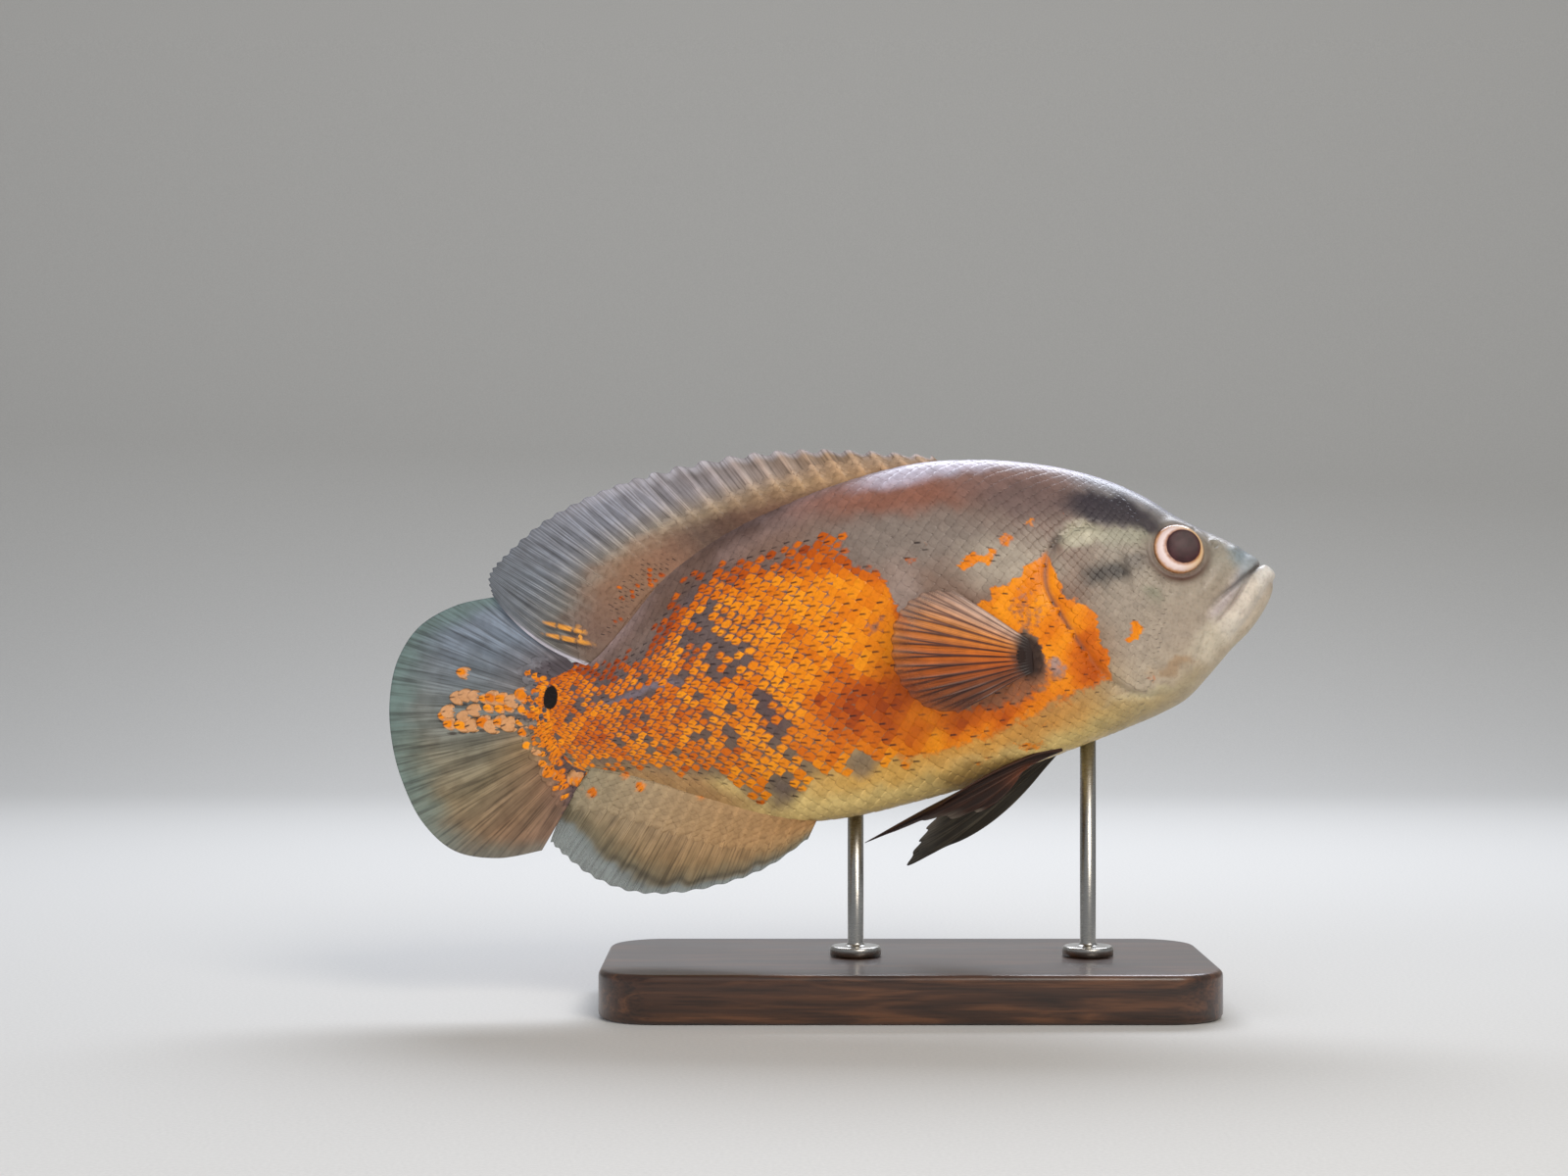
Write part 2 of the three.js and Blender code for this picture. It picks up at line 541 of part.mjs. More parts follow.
// Pectoral fin: a fan on a short fleshy stem behind the gill cover, held off the flank
const PECTORAL_AT = [58.6, -16];
const PECTORAL_SUNK = 1.5;
const PECTORAL_ROOT_HALF = 6.2;
const PECTORAL_RAYS = 14;
const PECTORAL_SPLAY_DEG = 28;
const PECTORAL_CUP = 5; // by which its tips curve back to the flank
const PECTORAL_ANGLES = [47, -25]; // of the first and last ray above the tailward line
const PECTORAL_LENGTHS = [33, 40, 45, 48, 48.5, 48, 45, 40, 32];
const degrees = (value) => (value * Math.PI) / 180;
function pectoralFin(side) {
  const at = skinAt(...PECTORAL_AT, side, -PECTORAL_SUNK);
  const splay = degrees(PECTORAL_SPLAY_DEG);
  const back = [-Math.cos(splay), side * Math.sin(splay), 0];
  const columns = rayColumns({
    rays: PECTORAL_RAYS,
    root: (u) => plus(at, [0.15, 0, 1], PECTORAL_ROOT_HALF * (1 - 2 * u)),
    tip: (u) => {
      const angle = degrees(blend(...PECTORAL_ANGLES, u));
      const length = onChain(PECTORAL_LENGTHS, u);
      return plus(plus(at, back, length * Math.cos(angle)), [0, 0, 1], length * Math.sin(angle));
    },
    flesh: { foot: 4, reach: 0.16 },
    ray: 1.3,
    webAt: 0.7,
    lappet: 0.8,
  });
  return finished(web(columns, { bow: (c, v) => [0, -side * PECTORAL_CUP * v * v, 0], crowd: 1.15 }));
}

// Pelvic fins: a spine and five rays each, the first ray drawn out to a thread, folded back
// below the belly, the right one closer to it. tips are of the spine and of each ray, and bulge
// is how far the leading and the trailing edge curve up at their middle.
const PELVIC_AT = [59, 7.5, -44];
const PELVIC_ROOT = { length: 9, along: [-1, -0.25, 0.2] };
const PELVIC_RIGHT = {
  tips: [[22, 19, -56], [-1.8, 21, -62.6], [9, 19, -60.6], [18, 16, -59.2], [26, 13, -60.2], [34, 10, -59.5]],
  bulge: [2, -3],
};
const PELVIC_LEFT = {
  tips: [[28, 17, -66.5], [10.7, 20, -71], [13, 18.5, -67], [15.5, 17, -64], [18.5, 14.5, -60.5], [22, 11.5, -57.5]],
  bulge: [-3.5, 0],
};
function pelvicFin(side, { tips, bulge }) {
  const mirrored = ([x, y, z]) => [x, side * y, z];
  const columns = rayColumns({
    rays: tips.length,
    root: (u) => mirrored(plus(PELVIC_AT, PELVIC_ROOT.along, PELVIC_ROOT.length * (u - 0.5))),
    tip: (u) => mirrored(onChain(tips, u)),
    flesh: { foot: 3.6, reach: 0.2 },
    ray: 1.5,
    webAt: 0.8,
    lappet: 2,
  });
  return finished(web(columns, { bow: (c, v) => [0, 0, 4 * v * (1 - v) * blend(...bulge, c)] }));
}

// The stand's rods end on the belly, so they are cut by the body where it lies on the stand
const fishPose = new THREE.Matrix4()
  .makeTranslation(...FISH_AT)
  .multiply(new THREE.Matrix4().makeRotationY(degrees(-PITCH_DEG)))
  .multiply(new THREE.Matrix4().makeRotationX(degrees(-BANK_DEG)));
const bodyOnStand = bodyGrown.transform(fishPose.elements);

function rod(x) {
  const foot = BASE_HEIGHT + JOINT_GAP;
  const profile = [
    [0, foot], [ROD_FLANGE_RADIUS, foot], [ROD_FLANGE_RADIUS, foot + ROD_FLANGE_HEIGHT - 1],
    [ROD_FLANGE_RADIUS - 1, foot + ROD_FLANGE_HEIGHT], [ROD_RADIUS, foot + ROD_FLANGE_HEIGHT],
    [ROD_RADIUS, FISH_AT[2]], [0, FISH_AT[2]],
  ].map(([r, z]) => new THREE.Vector2(r, z));
  const geometry = new THREE.LatheGeometry(profile, 16).rotateX(Math.PI / 2).translate(x, 0, 0);
  return solidOf(geometry).subtract(bodyOnStand).decompose().sort((a, b) => a.boundingBox().min[2] - b.boundingBox().min[2])[0];
}

function standBase() {
  const [l, w, r] = [BASE_LENGTH / 2 - BASE_BEVEL, BASE_WIDTH / 2 - BASE_BEVEL, BASE_CORNER];
  const shape = new THREE.Shape();
  shape.moveTo(-l + r, -w).lineTo(l - r, -w).absarc(l - r, -w + r, r, -Math.PI / 2, 0, false);
  shape.lineTo(l, w - r).absarc(l - r, w - r, r, 0, Math.PI / 2, false);
  shape.lineTo(-l + r, w).absarc(-l + r, w - r, r, Math.PI / 2, Math.PI, false);
  shape.lineTo(-l, -w + r).absarc(-l + r, -w + r, r, Math.PI, 1.5 * Math.PI, false);
  const depth = BASE_HEIGHT - 2 * BASE_BEVEL;
  return new THREE.ExtrudeGeometry(shape, {
    depth, bevelEnabled: true, bevelThickness: BASE_BEVEL, bevelSize: BASE_BEVEL, bevelSegments: 2, curveSegments: 4,
  }).translate(0, 0, BASE_BEVEL);
}

// Colours and finishes
const material = (color, roughness, metalness = 0) => new THREE.MeshStandardMaterial({ color, roughness, metalness });
const LOOKS = {
  head: material(0x8f8678, 0.45),
  flank: material(0xd9771c, 0.45),
  fin: material(0x7d756c, 0.5),
  pectoral: material(0xb0652c, 0.5),
  pelvic: material(0x33221c, 0.5),
  iris: material(0xd8b48a, 0.2),
  pupil: material(0x2e1c1c, 0.1),
  wood: material(0x3d2a1e, 0.4),
  steel: material(0xb9b7b2, 0.3, 1),
};

function named(name, solid, look) {
  const { numProp, vertProperties, triVerts } = solid.getMesh();
  const positions = [];
  for (let i = 0; i < vertProperties.length; i += numProp) positions.push(...vertProperties.subarray(i, i + 3));
  const geometry = new THREE.BufferGeometry()
    .setAttribute("position", new THREE.Float32BufferAttribute(positions, 3))
    .setIndex(new THREE.BufferAttribute(triVerts, 1));
  const mesh = new THREE.Mesh(geometry, look);
  mesh.name = name;
  return mesh;
}

const fish = new THREE.Group();
fish.position.set(...FISH_AT);
fish.quaternion.setFromRotationMatrix(fishPose);
const fishNodes = {
  head: [head, LOOKS.head],
  lower_jaw: [lowerJaw, LOOKS.head],
  gill_cover_left: [gillCover(1), LOOKS.head],
  gill_cover_right: [gillCover(-1), LOOKS.head],
  torso: [torso, LOOKS.flank],
  tail_stalk: [tailStalk, LOOKS.flank],
  eye_left: [eyes.left.ball, LOOKS.iris],
  eye_right: [eyes.right.ball, LOOKS.iris],
  pupil_left: [eyes.left.pupil, LOOKS.pupil],
  pupil_right: [eyes.right.pupil, LOOKS.pupil],
  dorsal_fin_spiny: [dorsalSpiny, LOOKS.fin],
  dorsal_fin_soft: [dorsalSoft, LOOKS.fin],
  anal_fin: [analFin, LOOKS.fin],
  tail_fin: [tailFin, LOOKS.fin],
  pectoral_fin_left: [pectoralFin(1), LOOKS.pectoral],
  pectoral_fin_right: [pectoralFin(-1), LOOKS.pectoral],
  pelvic_fin_left: [pelvicFin(1, PELVIC_LEFT), LOOKS.pelvic],
  pelvic_fin_right: [pelvicFin(-1, PELVIC_RIGHT), LOOKS.pelvic],
};
Object.entries(fishNodes).forEach(([name, [solid, look]]) => fish.add(named(name, solid, look)));

const model = new THREE.Group();
model.add(fish);
const base = new THREE.Mesh(standBase(), LOOKS.wood);
base.name = "stand_base";
model.add(base);
model.add(named("stand_rod_front", rod(ROD_FRONT_X), LOOKS.steel));
model.add(named("stand_rod_rear", rod(ROD_REAR_X), LOOKS.steel));

export default model;
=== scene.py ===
# An adult oscar, a deep-bodied cichlid, as a life-size painted museum model on a wooden stand.
# Sizes are worked in millimetres in the fish's own frame and placed on the stand in metres.
import math

import bpy
import numpy as np
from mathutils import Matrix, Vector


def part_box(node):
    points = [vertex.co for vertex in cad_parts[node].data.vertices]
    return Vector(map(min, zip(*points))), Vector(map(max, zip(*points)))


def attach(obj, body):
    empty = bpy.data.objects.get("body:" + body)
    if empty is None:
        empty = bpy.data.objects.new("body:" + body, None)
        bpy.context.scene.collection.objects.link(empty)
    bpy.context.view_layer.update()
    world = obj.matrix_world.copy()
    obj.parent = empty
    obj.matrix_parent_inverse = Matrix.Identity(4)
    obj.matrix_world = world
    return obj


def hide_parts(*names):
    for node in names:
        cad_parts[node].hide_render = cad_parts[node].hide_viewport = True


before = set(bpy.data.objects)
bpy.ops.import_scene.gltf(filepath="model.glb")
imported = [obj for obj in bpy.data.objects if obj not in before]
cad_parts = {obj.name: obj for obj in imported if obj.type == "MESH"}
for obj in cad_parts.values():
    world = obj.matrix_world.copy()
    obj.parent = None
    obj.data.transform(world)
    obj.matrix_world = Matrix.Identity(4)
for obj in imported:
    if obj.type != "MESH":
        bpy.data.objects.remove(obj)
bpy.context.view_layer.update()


# Stand base
# A slab of dark walnut with rounded corners and a softly rounded edge, stained and varnished.
# It lies flat on the table and carries both rods.
MM = 0.001
BASE_CORNER = 18 * MM
BASE_EDGE = 2 * MM
CORNER_STEPS = 20
EDGE_STEPS = 6


def colour(code):
    """Linear colour of an sRGB hex code: a share up to 0.04045 is divided by 12.92, and a larger
    one has 0.055 added, is divided by 1.055 and is raised to the power 2.4."""
    share = np.array([int(code[k:k + 2], 16) for k in (1, 3, 5)]) / 255
    return np.where(share <= 0.04045, share / 12.92, ((share + 0.055) / 1.055) ** 2.4)


def rgba(code):
    """Linear colour of a hex code with full opacity."""
    return (*colour(code), 1.0)


def add(material, kind, inputs=None, **settings):
    """Adds a shader node with its settings, each input set to a value or linked to a socket. A
    node given as a value stands for its first output."""
    tree = material.node_tree
    node = tree.nodes.new("ShaderNode" + kind)
    for key, value in settings.items():
        setattr(node, key, value)
    for key, value in (inputs or {}).items():
        value = value.outputs[0] if isinstance(value, bpy.types.Node) else value
        if isinstance(value, bpy.types.NodeSocket):
            tree.links.new(value, node.inputs[key])
        else:
            node.inputs[key].default_value = value
    return node


def empty_material(name):
    """Material whose node tree holds nothing yet."""
    material = bpy.data.materials.new(name)
    material.use_nodes = True
    material.node_tree.nodes.clear()
    return material


def ramp_node(material, factor, stops):
    """A colour ramp whose stops are pairs of position and hex code."""
    node = add(material, "ValToRGB", {"Fac": factor})
    elements = node.color_ramp.elements
    while len(elements) < len(stops):
        elements.new(0.5)
    for element, (position, code) in zip(elements, stops):
        element.position = position
        element.color = rgba(code)
    return node


def shown_by(material, shader):
    """Ends the material with its shader."""
    add(material, "OutputMaterial", {"Surface": shader})
    return material


def put(name, data):
    """Object of the data in the scene, at the origin."""
    thing = bpy.data.objects.new(name, data)
    bpy.context.scene.collection.objects.link(thing)
    return thing


def solid(name, points, faces, material, flat=0):
    """Closed mesh of points in metres and faces. All faces are turned round if the volume that
    they hold, a sixth of the sum of their corners' triple products, comes out negative. The last
    `flat` faces are shaded flat."""
    points = np.asarray(points, float)
    fans = [(group[:, [0, k, k + 1]]) for group in faces for k in range(1, group.shape[1] - 1)]
    corners = points[np.concatenate(fans)]
    volume = np.einsum("ij,ij->", corners[:, 0], np.cross(corners[:, 1], corners[:, 2]))
    turned = [group[:, ::-1] if volume < 0 else group for group in faces]
    mesh = bpy.data.meshes.new(name)
    mesh.from_pydata(points.tolist(), [], [face for group in turned for face in group.tolist()])
    smooth = np.ones(len(mesh.polygons), bool)
    if flat:
        smooth[-flat:] = False
    mesh.polygons.foreach_set("use_smooth", smooth)
    mesh.materials.append(material)
    mesh.update()
    return put(name, mesh)


def ring_faces(rows, count):
    """Quads between each ring and the next, and a fan from a middle point over each end."""
    k = np.arange(count)
    after = (k + 1) % count
    start = (np.arange(rows - 1) * count)[:, None]
    quads = np.stack([start + k, start + after, start + after + count, start + k + count], -1)
    first, last, top = rows * count, rows * count + 1, (rows - 1) * count
    low_fan = np.stack([after, k, np.full(count, first)], -1)
    high_fan = np.stack([top + k, top + after, np.full(count, last)], -1)
    return [quads.reshape(-1, 4), np.concatenate([low_fan, high_fan])]


def full_turn(steps):
    """Even angles round a circle, from 0 on."""
    return np.linspace(0, 2 * math.pi, steps, endpoint=False)


def stacked_rings(name, rings, material):
    """Closed solid of rings of points stacked in order, each end closed at its mean point."""
    rows, count, _ = rings.shape
    points = np.concatenate([rings.reshape(-1, 3), rings[[0, -1]].mean(axis=1)])
    return solid(name, points, ring_faces(rows, count), material)


SIDES = (1, "left"), (-1, "right")


def placed(piece, slot, *nodes):
    """Rides the piece on the still model in place of the CAD nodes, which it hides. The slot is not used.
    """
    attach(piece, "root")
    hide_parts(*nodes)
    return piece


def walnut():
    """Stained walnut, planed and sanded along the grain: dark bands a few millimetres wide, with
    short pores, under a satin varnish that gives a soft clear gloss."""
    wood = empty_material("stained_walnut_varnished")
    place = add(wood, "TexCoord").outputs["Object"]
    stretched = add(wood, "Mapping", {"Vector": place, "Scale": (14, 150, 150)})
    figure = add(wood, "TexNoise", {
        "Vector": stretched, "Scale": 1.0, "Detail": 5.0, "Distortion": 1.2})
    fibres = add(wood, "Mapping", {"Vector": place, "Scale": (60, 1400, 1400)})
    pores = add(wood, "TexNoise", {"Vector": fibres, "Scale": 1.0, "Detail": 2.0})
    bands = ramp_node(wood, figure,
                      [(0.3, "#24150D"), (0.5, "#3B2315"), (0.62, "#56351F"), (0.75, "#2E1B10")])
    grain = ramp_node(wood, pores, [(0.35, "#6B6B6B"), (0.55, "#FFFFFF")])
    stain = add(wood, "Mix", {0: 0.55, 6: bands, 7: grain},
                data_type="RGBA", blend_type="MULTIPLY")
    bump = add(wood, "Bump", {"Height": pores, "Strength": 0.12, "Distance": 0.0004})
    shader = add(wood, "BsdfPrincipled", {
        "Base Color": stain.outputs[2], "Roughness": 0.42, "Normal": bump,
        "Coat Weight": 0.5, "Coat Roughness": 0.18})
    return shown_by(wood, shader)


def quarter_round(radius, steps):
    """Inset and rise of a rounded edge: radius times one minus sine and one minus cosine."""
    turn = np.linspace(0, math.pi / 2, steps)
    return radius * (1 - np.sin(turn)), radius * (1 - np.cos(turn))


def rounded_slab(low, high, corner, edge):
    """Rings of a slab: quarter circles round four corner centres, drawn in by the edge's round."""
    inset, rise = quarter_round(edge, EDGE_STEPS)
    insets = np.concatenate([inset, inset[::-1]])
    heights = np.concatenate([low[2] + rise, high[2] - rise[::-1]])
    turn = np.concatenate([np.linspace(q, q + 1, CORNER_STEPS) for q in range(4)]) * math.pi / 2
    quarter = np.repeat(np.arange(4), CORNER_STEPS)
    centre_x = np.where((quarter == 0) | (quarter == 3), high[0] - corner, low[0] + corner)
    centre_y = np.where(quarter < 2, high[1] - corner, low[1] + corner)
    radius = (corner - insets)[:, None]
    x = centre_x + radius * np.cos(turn)
    y = centre_y + radius * np.sin(turn)
    return np.stack([x, y, np.broadcast_to(heights[:, None], x.shape)], -1)


base_low, base_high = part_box("stand_base")
base_rings = rounded_slab(base_low, base_high, BASE_CORNER, BASE_EDGE)
stand_base = stacked_rings("stand_base_walnut", base_rings, walnut())
placed(stand_base, "base_wood", "stand_base")


# Pose of the fish
# The fish is shaped level, +X to its snout, +Z to its back and +Y to its left. It is then banked,
# pitched nose-up and set over the stand, as the swimming fish holds itself.
PITCH = math.radians(10.7)
BANK = math.radians(7)
FISH_AT = np.array([-23, 0, 112])


def on_stand(points):
    """World place in metres: y and z turned by the bank, x and z by the pitch, then moved."""
    x, y, z = np.moveaxis(np.asarray(points, float), -1, 0)
    banked_y = y * math.cos(BANK) + z * math.sin(BANK)
    banked_z = z * math.cos(BANK) - y * math.sin(BANK)
    along_x = x * math.cos(PITCH) - banked_z * math.sin(PITCH)
    up_z = x * math.sin(PITCH) + banked_z * math.cos(PITCH)
    return (np.stack([along_x, banked_y, up_z], -1) + FISH_AT) * MM


# Display rods
# Two stainless rods, turned with a flange that is screwed to the base, drawn out to a brushed
# finish. Their upper ends are let into the belly.
ROD_RADIUS = 2.5
FLANGE_RADIUS = 8
FLANGE_HEIGHT = 3
FLANGE_EDGE = 1
ROD_FILLET = 1.2  # hollow round from the flange to the rod
ROD_SINK = 3  # into the belly
RODS = {"stand_rod_front": 57, "stand_rod_rear": -16}  # x of each


def brushed_steel():
    """Stainless steel, turned and brushed round the rod: fine rings spread the highlight."""
    steel = empty_material("stainless_steel_brushed")
    place = add(steel, "TexCoord").outputs["Object"]
    rings = add(steel, "Mapping", {"Vector": place, "Scale": (300, 300, 9000)})
    brush = add(steel, "TexNoise", {"Vector": rings, "Scale": 1.0, "Detail": 3.0})
    rough = add(steel, "MapRange", {"Value": brush, "To Min": 0.2, "To Max": 0.38})
    bump = add(steel, "Bump", {"Height": brush, "Strength": 0.1, "Distance": 0.0001})
    shader = add(steel, "BsdfPrincipled", {
        "Base Color": rgba("#B9B7B2"), "Metallic": 1.0, "Roughness": rough,
        "Normal": bump})
    return shown_by(steel, shader)


def turned_rod(name, x, material):
    """Lathe work: each profile point of radius and height carried round the rod's axis."""
    low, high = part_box(name)
    foot = low[2] / MM
    edge_in, edge_rise = quarter_round(FLANGE_EDGE, EDGE_STEPS)
    profile = [(FLANGE_RADIUS, foot)]
    profile += list(zip(FLANGE_RADIUS - edge_in[::-1], foot + FLANGE_HEIGHT - edge_rise[::-1]))
    fillet_in, fillet_rise = quarter_round(ROD_FILLET, EDGE_STEPS)
    profile += list(zip(ROD_RADIUS + fillet_in, foot + FLANGE_HEIGHT + fillet_rise))
    profile += [(ROD_RADIUS, high[2] / MM + ROD_SINK)]
    radius, height = np.array(profile).T
    turn = full_turn(48)
    rings = np.stack(np.broadcast_arrays(x + radius[:, None] * np.cos(turn),
                                         radius[:, None] * np.sin(turn), height[:, None]), -1)
    return stacked_rings(name + "_steel", rings * MM, material)


rod_steel = brushed_steel()
for rod_name, rod_x in RODS.items():
    placed(turned_rod(rod_name, rod_x, rod_steel), "rod_steel", rod_name)


# Skin
# One closed skin over head, jaw, gill covers, trunk and tail stalk, cast in resin and painted.
# It lies inside the outer form by the depth of the scales, which are laid over it.
SECTIONS = np.array([  # top x, z, bottom x, z, half width, level of the widest line, crest, keel
    [-94, -4, -94, -10, 0.4, 0.5, 1, 1],
    [-92.5, 9.5, -92.5, -21.5, 1.8, 0.5, 1, 1],
    [-85, 10.8, -85, -26.2, 4.4, 0.5, 1.05, 1.05],
    [-75, 12, -75, -29.2, 7, 0.5, 1.15, 1.1],
    [-63, 22, -63, -34.8, 9.8, 0.47, 1.4, 1.25],
    [-48, 34.5, -48, -42.5, 13, 0.46, 1.45, 1.3],
    [-29, 42.4, -29, -50.2, 16.6, 0.48, 1.35, 1.2],
    [-8, 47.6, -8, -53.6, 19.6, 0.5, 1.22, 1.02],
    [14, 51.4, 14, -52.9, 21.6, 0.5, 1.12, 0.95],
    [36, 52.8, 36, -51, 22.6, 0.49, 1.06, 0.92],
    [56, 50.2, 55, -47.9, 22.8, 0.47, 1.02, 0.92],
    [71, 46.3, 70, -45.3, 22.6, 0.44, 1, 0.94],
    [84, 41.5, 83, -42.9, 21.9, 0.42, 1, 0.99],
    [95, 35.8, 95, -40.2, 20.8, 0.42, 0.98, 1.04],
    [105, 28.6, 105.5, -36.8, 19.3, 0.44, 0.96, 1.05],
    [113.5, 20.6, 114.5, -30.4, 17.5, 0.48, 0.94, 1.02],
    [120.5, 15, 122, -24.4, 15.2, 0.5, 0.92, 0.98],
    [126.5, 11, 128.5, -20, 12.9, 0.5, 0.92, 0.95],
    [131.3, 6.8, 133.6, -15.4, 10.4, 0.5, 0.92, 0.93],
    [135, 3.2, 137.3, -10.9, 7.6, 0.5, 0.95, 0.95],
    [137.6, 0.4, 139.4, -7, 4.6, 0.5, 1, 1],
    [139.6, -2.6, 140, -4.2, 1, 0.5, 1, 1],
])
ROWS_PER_SECTION = [4, 8, 10, 12, 14, 16, 18, 18, 18, 18, 26, 26, 26, 28, 28, 24, 20, 20, 18, 16, 12]
SIDE_COLUMNS = 118  # from the belly to the back
# Lines of the side view
GAPE = [
    [144, 1.6], [135.5, 0.4], [131.6, -2.5], [128.1, -6.2], [124, -10.6], [119.9, -14], [115.3, -17]]
LIP_CREASE = [
    [138, 2.2], [134, -0.9], [129.8, -2.8], [125.5, -5.5], [121.5, -7.6], [117.6, -10.2], [113.4, -13.4]]
GILL_EDGE = [
    [89.5, 18.4], [84.6, 20.6], [78.8, 20.1], [73.4, 16.6], [69.6, 11], [68.2, 4], [70.4, -4],
    [74.6, -14.5], [79.4, -24.5], [85.4, -31], [93, -34], [100.6, -33.6]]
CHEEK_EDGE = [[90.8, 14.5], [91.8, 4], [91.2, -8], [91, -17], [94.2, -25], [100.8, -30.2]]
JAW_EDGE = [[115.3, -17], [110, -25], [106, -33]]
EYE_AT = np.array([110.4, 8.4])
EYE_RADIUS = 8.3
# Folds along a line of the side view: middle's offset, width, rise, shares where it fades in, out
FOLDS = [
    (GAPE, -2.4, 1.8, 0.45, 0.3, 0.2),  # upper lip
    (LIP_CREASE, 0, 0.9, -0.75, 0.1, 0.15),  # crease above it
    (GAPE, -8.6, 1.6, 0.3, 0, 0.3),  # cheek bone in front of the eye
    (GAPE, 3.2, 2.8, 0.85, 0, 0.2),  # lower lip
    (GAPE, 7.0, 1.3, -0.45, 0, 0.2),  # crease below it
    (GAPE, 0.1, 0.5, -0.9, 0, 0.25),  # slit of the mouth
    (GILL_EDGE, -0.7, 0.9, -0.7, 0.1, 0.12),  # opening behind the gill cover
    (CHEEK_EDGE, -0.6, 1.5, -0.2, 0.15, 0.15),  # groove behind the cheek
    (JAW_EDGE, 0, 1.0, -0.45, 0.2, 0.3),  # fold behind the jaw
]
# Steps up at a line: rise, width of the rise, where it sinks away, fades in and out
STEPS = [(GILL_EDGE, 0.65, 1.8, 4, 16, 0.1, 0.2), (CHEEK_EDGE, 0.4, 3, 3, 9, 0.15, 0.15)]
FOLDS_FROM_X = 60  # behind it the skin has none
ORBIT_RISE, ORBIT_OUT, ORBIT_WIDTH = 0.4, 1.0, 1.4  # swollen ring, outside the eye's edge
SOCKET_DEPTH = 3.0
SOCKET_WALL = (6.7, 8.0)  # radii between which it rises
NOSTRIL_AT = np.array([122.3, 8.4])
NOSTRIL_RADIUS, NOSTRIL_RIM, NOSTRIL_RISE = 1.5, 0.6, 0.35
NOSTRIL_WIDTH, NOSTRIL_DEPTH = 0.8, 1.5
# Sensory pores of the head, in rows over the cheek, under the eye and along the jaw
PORES = np.array([
    [118.5, 0.5], [115.4, -3.6], [110.6, -5.2], [105.2, -3.9], [126.4, 4.6], [117, 14.2],
    [95.3, 3.5], [95, -5.5], [94.6, -14.5], [97.4, -22.5], [103.6, -27.6], [112, -24.6],
    [119, -19.6], [125.6, -14.6], [102.6, 18.4], [97, 26]])
PORE_RADIUS, PORE_DEPTH = 0.55, 0.4
COAT_DEPTH = 0.4  # of the scales over the skin
BARE_DEPTH = 0.2  # where there are none
BARE_HEAD = (102, 112)  # x between which the scales run out on the head
BARE_BY_EYE = (9.5, 12)
BARE_THROAT = (108, 116)
THIN_BELOW = 3  # half width below which the depth shrinks too
EVENED_ANGLE, EVENINGS = 22, 14
MIRROR = np.array([1, -1, 1])


def along(points, t):
    """Uniform Catmull-Rom through rows of points: between b and c, with a before and d after, it
    is half of 2b + (c-a)f + (2a-5b+4c-d)ff + (3b-a-3c+d)fff, for the fraction f of t."""
    points = np.asarray(points, float)
    t = np.asarray(t, float)
    low = np.clip(np.floor(t).astype(int), 0, len(points) - 2)
    f = (t - low).reshape(t.shape + (1,) * (points.ndim - 1))
    a, b, c, d = (points[np.clip(low + k, 0, len(points) - 1)] for k in (-1, 0, 1, 2))
    return 0.5 * (2 * b + (c - a) * f + (2 * a - 5 * b + 4 * c - d) * f**2
                  + (3 * b - a - 3 * c + d) * f**3)


def flank(s, a):
    """Left skin at section s and angle a, -90 degrees on the belly and 90 on the back: height
    goes with the sine, and width with the cosine, each to the power of the crest or the keel."""
    row = along(SECTIONS, s)
    top, bottom = row[..., 0:2], row[..., 2:4]
    middle = bottom + (top - bottom) * row[..., 5:6]
    rising = np.sin(a) >= 0
    sharp = np.where(rising, row[..., 6], row[..., 7])
    lift = (np.abs(np.sin(a)) ** sharp)[..., None]
    point = middle + (np.where(rising[..., None], top, bottom) - middle) * lift
    half = np.maximum(row[..., 4], 0.02) * np.abs(np.cos(a)) ** sharp
    return np.stack([point[..., 0], half, point[..., 1]], -1)


def ramp(value, low, high):
    """0 below low, 1 above high and between them 3ff - 2fff, for the fraction f of the way."""
    f = np.clip((value - low) / (high - low), 0, 1)
    return f * f * (3 - 2 * f)


def bell(value, width):
    """e to the power of minus the square of value over width."""
    return np.exp(-((value / width) ** 2))


def window(value, opens, opened, closes, closed):
    """1 between opened and closes, gone below opens and above closed."""
    return ramp(value, opens, opened) * (1 - ramp(value, closes, closed))


def read(table, value):
    """Value of a table of pairs, straight between its rows."""
    return np.interp(value, *np.transpose(table))


def smoothed(line, steps=4):
    """The line with its points joined by a smooth curve of short steps."""
    return along(line, np.linspace(0, len(line) - 1, (len(line) - 1) * steps + 1))


def from_line(line, x, z):
    """Signed distance in the side view to the nearest stretch of a line, positive on the left of
    its direction, and the share of the line's points at which that stretch is met."""
    line = smoothed(line)
    start, step = line[:-1], np.diff(line, axis=0)
    px, pz = x[..., None] - start[:, 0], z[..., None] - start[:, 1]
    f = np.clip((px * step[:, 0] + pz * step[:, 1]) / (step**2).sum(1), 0, 1)
    gap = np.hypot(px - step[:, 0] * f, pz - step[:, 1] * f)
    nearest = gap.argmin(-1)[..., None]
    pick = lambda values: np.take_along_axis(values, nearest, -1)[..., 0]
    side = np.where(pick(step[:, 0] * pz - step[:, 1] * px) >= 0, 1, -1)
    return side * pick(gap), (nearest[..., 0] + pick(f)) / len(step)


def apart(at, x, z):
    """Distance from a point of the side view."""
    return np.hypot(x - at[0], z - at[1])


def shown(share, start, stop):
    """1 along a line, fading in over its first share and out over its last."""
    opened = ramp(share, 0, start) if start else 1
    return opened * (ramp(1 - share, 0, stop) if stop else 1)


